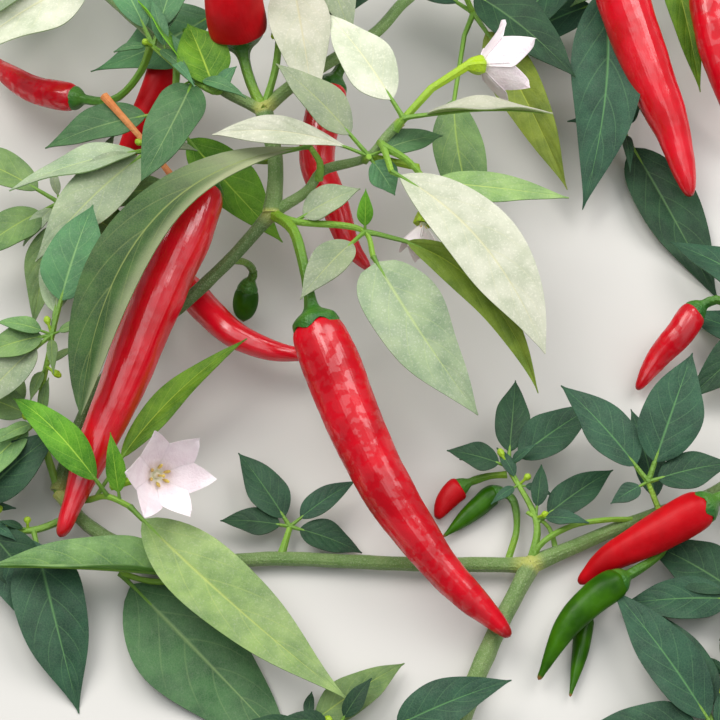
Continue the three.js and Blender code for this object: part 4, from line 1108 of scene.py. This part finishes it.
SPRAYS = {
    "front_spray": dict(
        finish="dusty",
        twigs=[[(1.5, 60, 51.5), (2.7, 61, 55.5)]],
        leaves=[
            leaf((2.7, 61, 54.5), 135, 8.5, 31, 13, 68),
            leaf((2.7, 61, 54.5), 172, 6, 41.5, 9.5, 63, roll=-12, bend=-0.045, root=1.6, finish="pale"),
            leaf((2.7, 61, 54.5), 16, 3, 20, 10, 47, finish="blue"),
            leaf((2.7, 61, 54.5), -56, 2, 12, 10, 48, finish="blue"),
        ]),
    "pale_leaf_spray": dict(
        finish="pale",
        twigs=[
            [(6, 65, 54), (7, 64, 57.5), (9.5, 56.5, 57)],
            [(7, 64, 57.5), (14, 60, 56.5), (20, 53.5, 52)],
        ],
        leaves=[
            leaf((9.5, 56.5, 57), -49.8, 2.5, 69, 23, 36, bend=0.07, root=0.9, end=1.1),
            leaf((20, 53.5, 52), -6.4, 2, 41, 11, 46, arch=0.02, finish="fresh"),
        ]),
    "long_leaf_spray": dict(
        finish="dusty",
        twigs=[[(-12.5, 54, 45), (-12, 59, 49.5), (-15, 64, 52)]],
        leaves=[
            # Its finish paints it paler towards the root and along the lit margin: partly dust, partly
            # painted sheen.
            leaf((-15, 64, 52), 229.5, 2, 104, 20, 36, bend=-0.155, arch=0.13, root=1.2, end=0.9, fold=22,
                 roll=10, finish="worn"),
        ]),
    "flower_spray": dict(
        finish="dusty",
        twigs=[[(10.5, 69, 56), (13.2, 73, 59.5)]],
        leaves=[
            leaf((13, 72.5, 59), 126, 6, 33, 17, 67, finish="pale"),
            leaf((13, 72.5, 59), 2, 7, 38, 16, 60, roll=-42, fold=20, finish="pale"),
        ]),
    "middle_spray": dict(
        finish="mid", bare=True,
        twigs=[[MIDDLE_NODE, (-19.5, 41.5, 42.5), (1.5, 38.4, 45), (4, 31, 43.5)]],
        leaves=[
            leaf((1.5, 38.4, 45), 89, 2, 11, 5, 56, finish="bright"),
            leaf((4, 31, 43.5), -56.5, 2, 55, 24, 24, bend=-0.04, root=0.5, end=1.1, finish="dusty"),
            leaf((1.5, 38.4, 45), 226, 6, 22, 12, 49, finish="dusty"),
            leaf((1.5, 38.4, 45), -43, 12, 59, 13, 25, bend=0.14, fold=35, roll=30, finish="olive"),
            leaf((-19.5, 41.5, 42.5), 27, 3, 19, 11, 49, finish="dusty"),
        ]),
    "left_flower_spray": dict(
        finish="bright", bare=True,
        twigs=[[LEFT_NODE, (-83, -42, 9.5), (-75.6, -41, 16), (-69, -44, 16)]],
        leaves=[
            leaf((-75.6, -41, 16), 134, 6, 35, 11, 27, arch=0.25),
            leaf((-72, -42.5, 16), 98, 3, 18, 6, 30),
            leaf((-79.3, -41.5, 12.7), 46.6, 14, 52, 9, 28, arch=0.02, bend=0.06),
            leaf((-69, -44, 16), -41.5, 6, 82, 22, 10, arch=0.05, bend=-0.03, finish="fresh"),
        ]),
    "left_low_spray": dict(
        finish="blue", bare=True,
        twigs=[[(-50, -60, 4.3), (-50, -64.5, 8), (-61, -66.5, 6.5), (-72, -64, 4.5)]],
        leaves=[
            leaf((-50, -64.5, 8), 177.5, 4, 58, 22, 14, arch=0.04, fold=50, roll=25, finish="mid"),
            leaf((-72, -64, 4.5), -46, 5, 72, 30, -0.4, arch=0.02, fold=4),
            leaf((-72, -64, 4.5), 25, 4, 24, 11, 1, finish="dark"),
        ]),
    "left_edge_spray": dict(
        finish="mid",
        twigs=[[LEFT_NODE, (-96, -18, 20), (-92.4, 7.5, 34)]],
        leaves=[
            leaf((-92.4, 7.5, 34), 72.5, 10, 31, 19, 44, finish="blue"),
            leaf((-92.4, 7.5, 34), -164, 3, 20, 11, 34),
            leaf((-96, -18, 20), 160, 4, 26, 12, 22),
        ],
        tufts=[
            ring((-92.4, 7.5, 34), 3, 110, 30, -6, 11, finish="dusty"),
            ring((-96, -18, 20), 4, 40, 28, -4, 12),
        ]),
    "left_shoot_spray": dict(
        finish="dark",
        twigs=[[(-85, -46, 7), (-98, -51, 8), (-108, -50, 9), (-117, -45, 11)]],
        leaves=[
            leaf((-117, -45, 11), 41.6, 4, 32, 17, 22),
            leaf((-108, -50, 9), -64, 5, 34, 20, -0.4),
            leaf((-98, -51, 8), -76, 5, 52, 22, -0.4),
        ],
        tufts=[ring((-117, -45, 11), 4, 150, 34, -6, 21)]),
    "shoulder_spray": dict(
        finish="dusty",
        twigs=[[(-54.6, 90.6, 46), (-56, 78, 40), (-63, 63, 37), (-74, 57, 27), (-90, 47, 20)]],
        leaves=[
            leaf((-63, 63, 37), -135.8, 4, 44, 20, 33),
            leaf((-63, 63, 37), 196, 4, 40, 15, 36, roll=25),
            leaf((-58, 74, 39), 196, 6, 32, 14, 30, finish="blue"),
            leaf((-58, 74, 39), -48, 10, 42, 18, 22, arch=-0.03, finish="bright"),
        ],
        tufts=[ring((-90, 47, 20), 6, 20, 30, -2, 13, finish="mid")]),
    "crown_left_spray": dict(
        finish="blue",
        twigs=[[(-42, 81.5, 50), (-43.5, 80.5, 55), (-50, 84, 54.5), (-62, 94, 54)]],
        leaves=[
            leaf((-43.5, 80.5, 55), 112, 2, 20, 17, 58, finish="bright"),
            leaf((-43.5, 80.5, 55), 50, 2, 8, 5, 60),
            leaf((-50, 84, 54.5), -117.3, 2, 32, 16.6, 56, bend=0.04, root=0.65, end=1),
            leaf((-50, 84, 54.5), 124.5, 3, 26, 9, 58, roll=60, finish="bright"),
            leaf((-62, 94, 54), 70, 5, 28, 12, 58),
            leaf((-62, 94, 54), 118, 5, 30, 13, 52),
        ]),
    "crown_end_spray": dict(
        finish="pale",
        twigs=[[TOP_LEFT_END, (-88, 120, 34), (-97, 130, 32)]],
        leaves=[
            leaf((-81, 114, 36), -148, 3, 44, 27, 44),
            leaf((-88, 120, 34), 178, 6, 44, 18, -0.4, finish="mid"),
        ],
        tufts=[
            ring((-97, 130, 32), 5, 20, 38, -4, 31, finish="dusty"),
            ring((-88, 120, 34), 2, 80, 34, 12, 32, finish="dusty"),
        ]),
    "crown_top_spray": dict(
        finish="dark",
        twigs=[[TOP_FORK, (-25.5, 87, 54), (-24, 100, 56), (-21.6, 120, 60), (-19, 134, 62)]],
        leaves=[
            leaf((-21.6, 120, 60), -150.6, 28, 40, 25, 26, arch=-0.08, root=1, end=1.9, finish="blue"),
            leaf((-21.6, 120, 60), -80, 8, 39, 19, 62, finish="pale"),
            leaf((-24, 100, 56), 20, 8, 30, 15, 54),
        ],
        tufts=[
            ring((-19, 134, 62), 5, 70, 40, -4, 41, finish="dusty"),
            ring((-24, 100, 56), 3, 130, 28, -10, 42),
        ]),
    "rear_top_spray": dict(
        finish="dark",
        twigs=[[(26, 116, 42), (30, 112, 34), (34, 104, 26)]],
        leaves=[
            leaf((30, 112, 34), -38, 6, 38, 20, 30),
            leaf((34, 104, 26), -62, 8, 52, 16, 14, roll=25, finish="olive"),
            leaf((34, 104, 26), -86, 30, 44, 17, 14, bend=-0.1, finish="mid"),
            leaf((30, 112, 34), 80, 5, 36, 16, 44, finish="mid"),
            leaf((34, 104, 26), 155, 5, 32, 14, 18),
            leaf((34, 104, 26), 55, 5, 30, 13, 22),
        ]),
    "hanging_spray": dict(
        finish="dark",
        twigs=[
            [(68, 121.5, 40), (70, 123, 30), (82, 125, 26), (98, 125, 27)],
            [(70, 123, 30), (75, 108, 18), (78, 88, 10), (79, 68.5, 5)],
        ],
        leaves=[
            leaf((70, 123, 30), -92.4, 15, 63, 25, 10, bend=0.06),
            leaf((70, 123, 30), -134, 7, 38, 20, 18),
            leaf((91, 125, 26.5), -76, 6, 40, 11, 12, finish="bright"),
            leaf((79, 68.5, 5), -60.8, 6, 52, 22, -0.4, arch=0.02),
            leaf((75, 108, 18), 205, 6, 36, 17, 3),
        ],
        tufts=[ring((98, 125, 27), 5, 10, 38, -4, 51, finish="mid")]),
    "right_spray": dict(
        finish="dark",
        twigs=[[(84, -48, 5), (90, -48, 11), (86.4, -36.6, 18)]],
        leaves=[
            leaf((86.4, -36.6, 18), 132, 6, 33, 15, 26),
            leaf((86.4, -36.6, 18), 71, 6, 35, 19, 30),
            leaf((86.4, -36.6, 18), 12.7, 3, 23, 12, 21),
            leaf((86.4, -36.6, 18), 210, 3, 10, 6, 18),
        ],
        tufts=[ring((90, -48, 11), 4, 10, 26, -4, 53)]),
    "right_end_spray": dict(
        finish="dark",
        twigs=[[RIGHT_END, (129, 0, 13), (130, 14, 13)]],
        leaves=[
            leaf((129, 0, 13), 156, 5, 30, 14, 2),
            leaf((129, 0, 13), -70, 5, 36, 17, -0.4),
        ],
        tufts=[ring((130, 14, 13), 5, 10, 36, -3, 61)]),
    "corner_spray": dict(
        finish="dark",
        twigs=[[(113, -36, 6.5), (116, -72, 6), (107, -112, 4)]],
        leaves=[
            leaf((107, -112, 4), 126, 5, 49, 17, 12),
            leaf((116, -72, 6), 150, 5, 30, 17, 4),
            leaf((116, -72, 6), -70, 5, 34, 16, 14),
        ],
        tufts=[
            ring((107, -112, 4), 4, 200, 34, -3, 71),
            ring((116, -72, 6), 4, 80, 30, 0, 72),
        ]),
    "bottom_spray": dict(
        finish="dark",
        twigs=[[(30, -110, 4.2), (17, -114, 6), (8.4, -111, 8), (-16, -110, 5)]],
        leaves=[
            leaf((8.4, -111, 8), 22, 3, 37, 14, 16),
            leaf((-16, -110, 5), 33, 3, 32, 12, 4, finish="mid"),
            leaf((-16, -110, 5), 205, 3, 28, 13, -0.4),
        ]),
    "rear_spray": dict(
        finish="dark",
        twigs=[[LOW_FORK, (53, -49, 8.5), (44.4, -32, 11)]],
        leaves=[
            leaf((44.4, -32, 11), 35, 4, 28, 14, 13),
            leaf((44.4, -32, 11), 85, 4, 22, 11, 12),
            leaf((44.4, -32, 11), 165, 3, 16, 9, 14),
            leaf((53, -49, 8.5), 35, 4, 24, 11, 8),
        ]),
    "low_spray": dict(
        finish="dark",
        twigs=[[(-24, -59.5, 4.2), (-21, -50, 6)]],
        leaves=[
            leaf((-21, -50, 6), 125, 3, 24, 12, 10),
            leaf((-21, -50, 6), 35, 4, 20, 8, 9),
            leaf((-21, -50, 6), -20, 3, 20, 10, 3),
            leaf((-21, -50, 6), 175, 3, 18, 9, 6),
        ]),
}
print("sprays:", len(SPRAYS), "leaves by name:", sum(len(spray["leaves"]) for spray in SPRAYS.values()))


# %% [markdown]
# The leaves of a tuft come from a seeded run of numbers, the same run as in the solids, so they stand
# in the same places. A leaf that would touch a stem or a fruit is left out, by the same rule.

# %% Tufts
def seeded(seed):
    """A run of numbers between 0 and 1."""
    state = seed
    while True:
        state = state * 16807 % 2147483647
        yield state / 2147483647


limbs = []
for stem in STEMS.values():
    path = path_through(stem["line"])
    limbs += [(path.point(k / 24), stem["foot"]) for k in range(25)]
for fruit in FRUITS.values():
    path = path_through(fruit["body"])
    limbs += [(path.point(k / 24), fruit["girth"] / 2) for k in range(25)]


def is_clear(shape):
    """Whether a leaf keeps off every stem and fruit."""
    return not any((point - place).length < radius + shape["width"] / 4
                   for point in leaf_line(shape)[15::5] for place, radius in limbs)


def tuft(made, finish_name):
    """The leaves of a tuft, less those that would touch a stem or a fruit."""
    run = seeded(made["seed"])
    leaves = []
    for i in range(made["count"]):
        shape = dict(node=made["node"], finish=made.get("finish", finish_name))
        shape["heading"] = made["first"] + 360 * (i + 0.5 * (next(run) - 0.5)) / made["count"]
        shape["petiole"] = 4 + 4 * next(run)
        shape["blade"] = made["blade"] * (0.8 + 0.3 * next(run))
        shape["width"] = made["blade"] * (0.38 + 0.1 * next(run))
        shape["tip"] = max(1, made["node"][2] + made["rise"] + 10 * (next(run) - 0.5))
        if is_clear(shape):
            leaves.append(shape)
    return leaves


# %% [markdown]
# Between the large leaves the real branch carries finer growth: short side shoots with tiny bright
# leaves and round buds in the angles of the twigs. The rule goes one step finer: along each twig and
# at each end it sets small tufts, which stay within the reach of the large leaves.

# %% Finer growth
def side_shoots(spray, chance):
    """Small leaves and buds along the twigs of a spray."""
    shapes, buds = [], []
    for places in spray["twigs"]:
        path = Path(smooth_points([Vector(place) for place in places]))
        for share in [0.45, 0.8, 1.0] if path.length > 25 and not spray.get("bare") else []:
            place = path.point(share)
            first = chance.uniform(0, 360)
            for k in range(chance.choice([2, 3])):
                small = chance.uniform(7, 15)
                shape = dict(node=tuple(place), heading=first + 130 * k + chance.uniform(-25, 25),
                             petiole=small * 0.25, blade=small, width=small * chance.uniform(0.3, 0.42),
                             tip=max(1.5, place.z + chance.uniform(-2, 7)), arch=0.14,
                             finish=spray["finish"], small=True)
                if is_clear(shape):
                    shapes.append(shape)
            buds.append((place, first + 65 + chance.uniform(-30, 30), chance.uniform(3.5, 6)))
    return shapes, buds


def bud(place, heading, length):
    """A round bud on a short bent stalk."""
    turn = math.radians(heading)
    out = Vector((math.cos(turn), math.sin(turn)))
    bend, end = place.xy + out * length * 0.6, place.xy + out * length
    places = [place, (*bend, place.z + 2), (*end, max(1.5, place.z + 1.5))]
    rows = [(0, 0), (0, 0.5), (0.5, 0.45), (0.62, 0.9), (0.78, 1.15), (0.93, 0.8), (1, 0)]
    part = turned(rows, 10)
    lay_along(part.verts, path_through(places))
    return part


# %% Building the sprays
LEAF_GRID = (12, 28)
SMALL_LEAF_GRID = (6, 10)
MIDRIB_SIDES = 6

twigs, bud_piece = new_part(), new_part()
leaf_count = 0
for number, (name, spray) in enumerate(SPRAYS.items()):
    chance = random.Random(100 + number)
    shapes = [dict(shape) for shape in spray["leaves"]]
    for made in spray.get("tufts", []):
        shapes += tuft(made, spray["finish"])
    small, buds = side_shoots(spray, chance)
    shapes += small
    used = sorted({shape.get("finish", spray["finish"]) for shape in shapes})
    whole = new_part()
    for shape in shapes:
        tone = chance.random()
        path = Path(leaf_line(shape), math.radians(shape.get("roll", 0)))
        columns, rows = SMALL_LEAF_GRID if shape.get("small") else LEAF_GRID
        slot_of_blade = used.index(shape.get("finish", spray["finish"]))
        for part, slot in ((blade(shape, path, chance, columns, rows), slot_of_blade),
                           (leaf_stalk(shape, path, MIDRIB_SIDES), len(used))):
            write(part, "tone", tone)
            for face in part.faces:
                face.material_index = slot
            join(whole, part)
    leaf_count += len(shapes)
    finishes = [LEAF_FINISHES[finish_name] for finish_name in used] + [TWIG_GREEN]
    piece(whole, name + "_leaves", finishes, "leaf", name)
    for places in spray["twigs"]:
        join(twigs, limb(places, 1.25, 0.75, sides=10, swell=0.12, seed=number))
    for place, heading, length in buds:
        join(bud_piece, bud(place, heading, length))
piece(twigs, "twigs", [TWIG_GREEN], "stem")
piece(bud_piece, "buds", [LIME_GREEN], "green_stalk")
print("leaves:", leaf_count, "pieces:", len(pieces), "triangles:", sum(pieces.values()))
print("largest piece:", max(pieces, key=pieces.get), max(pieces.values()))
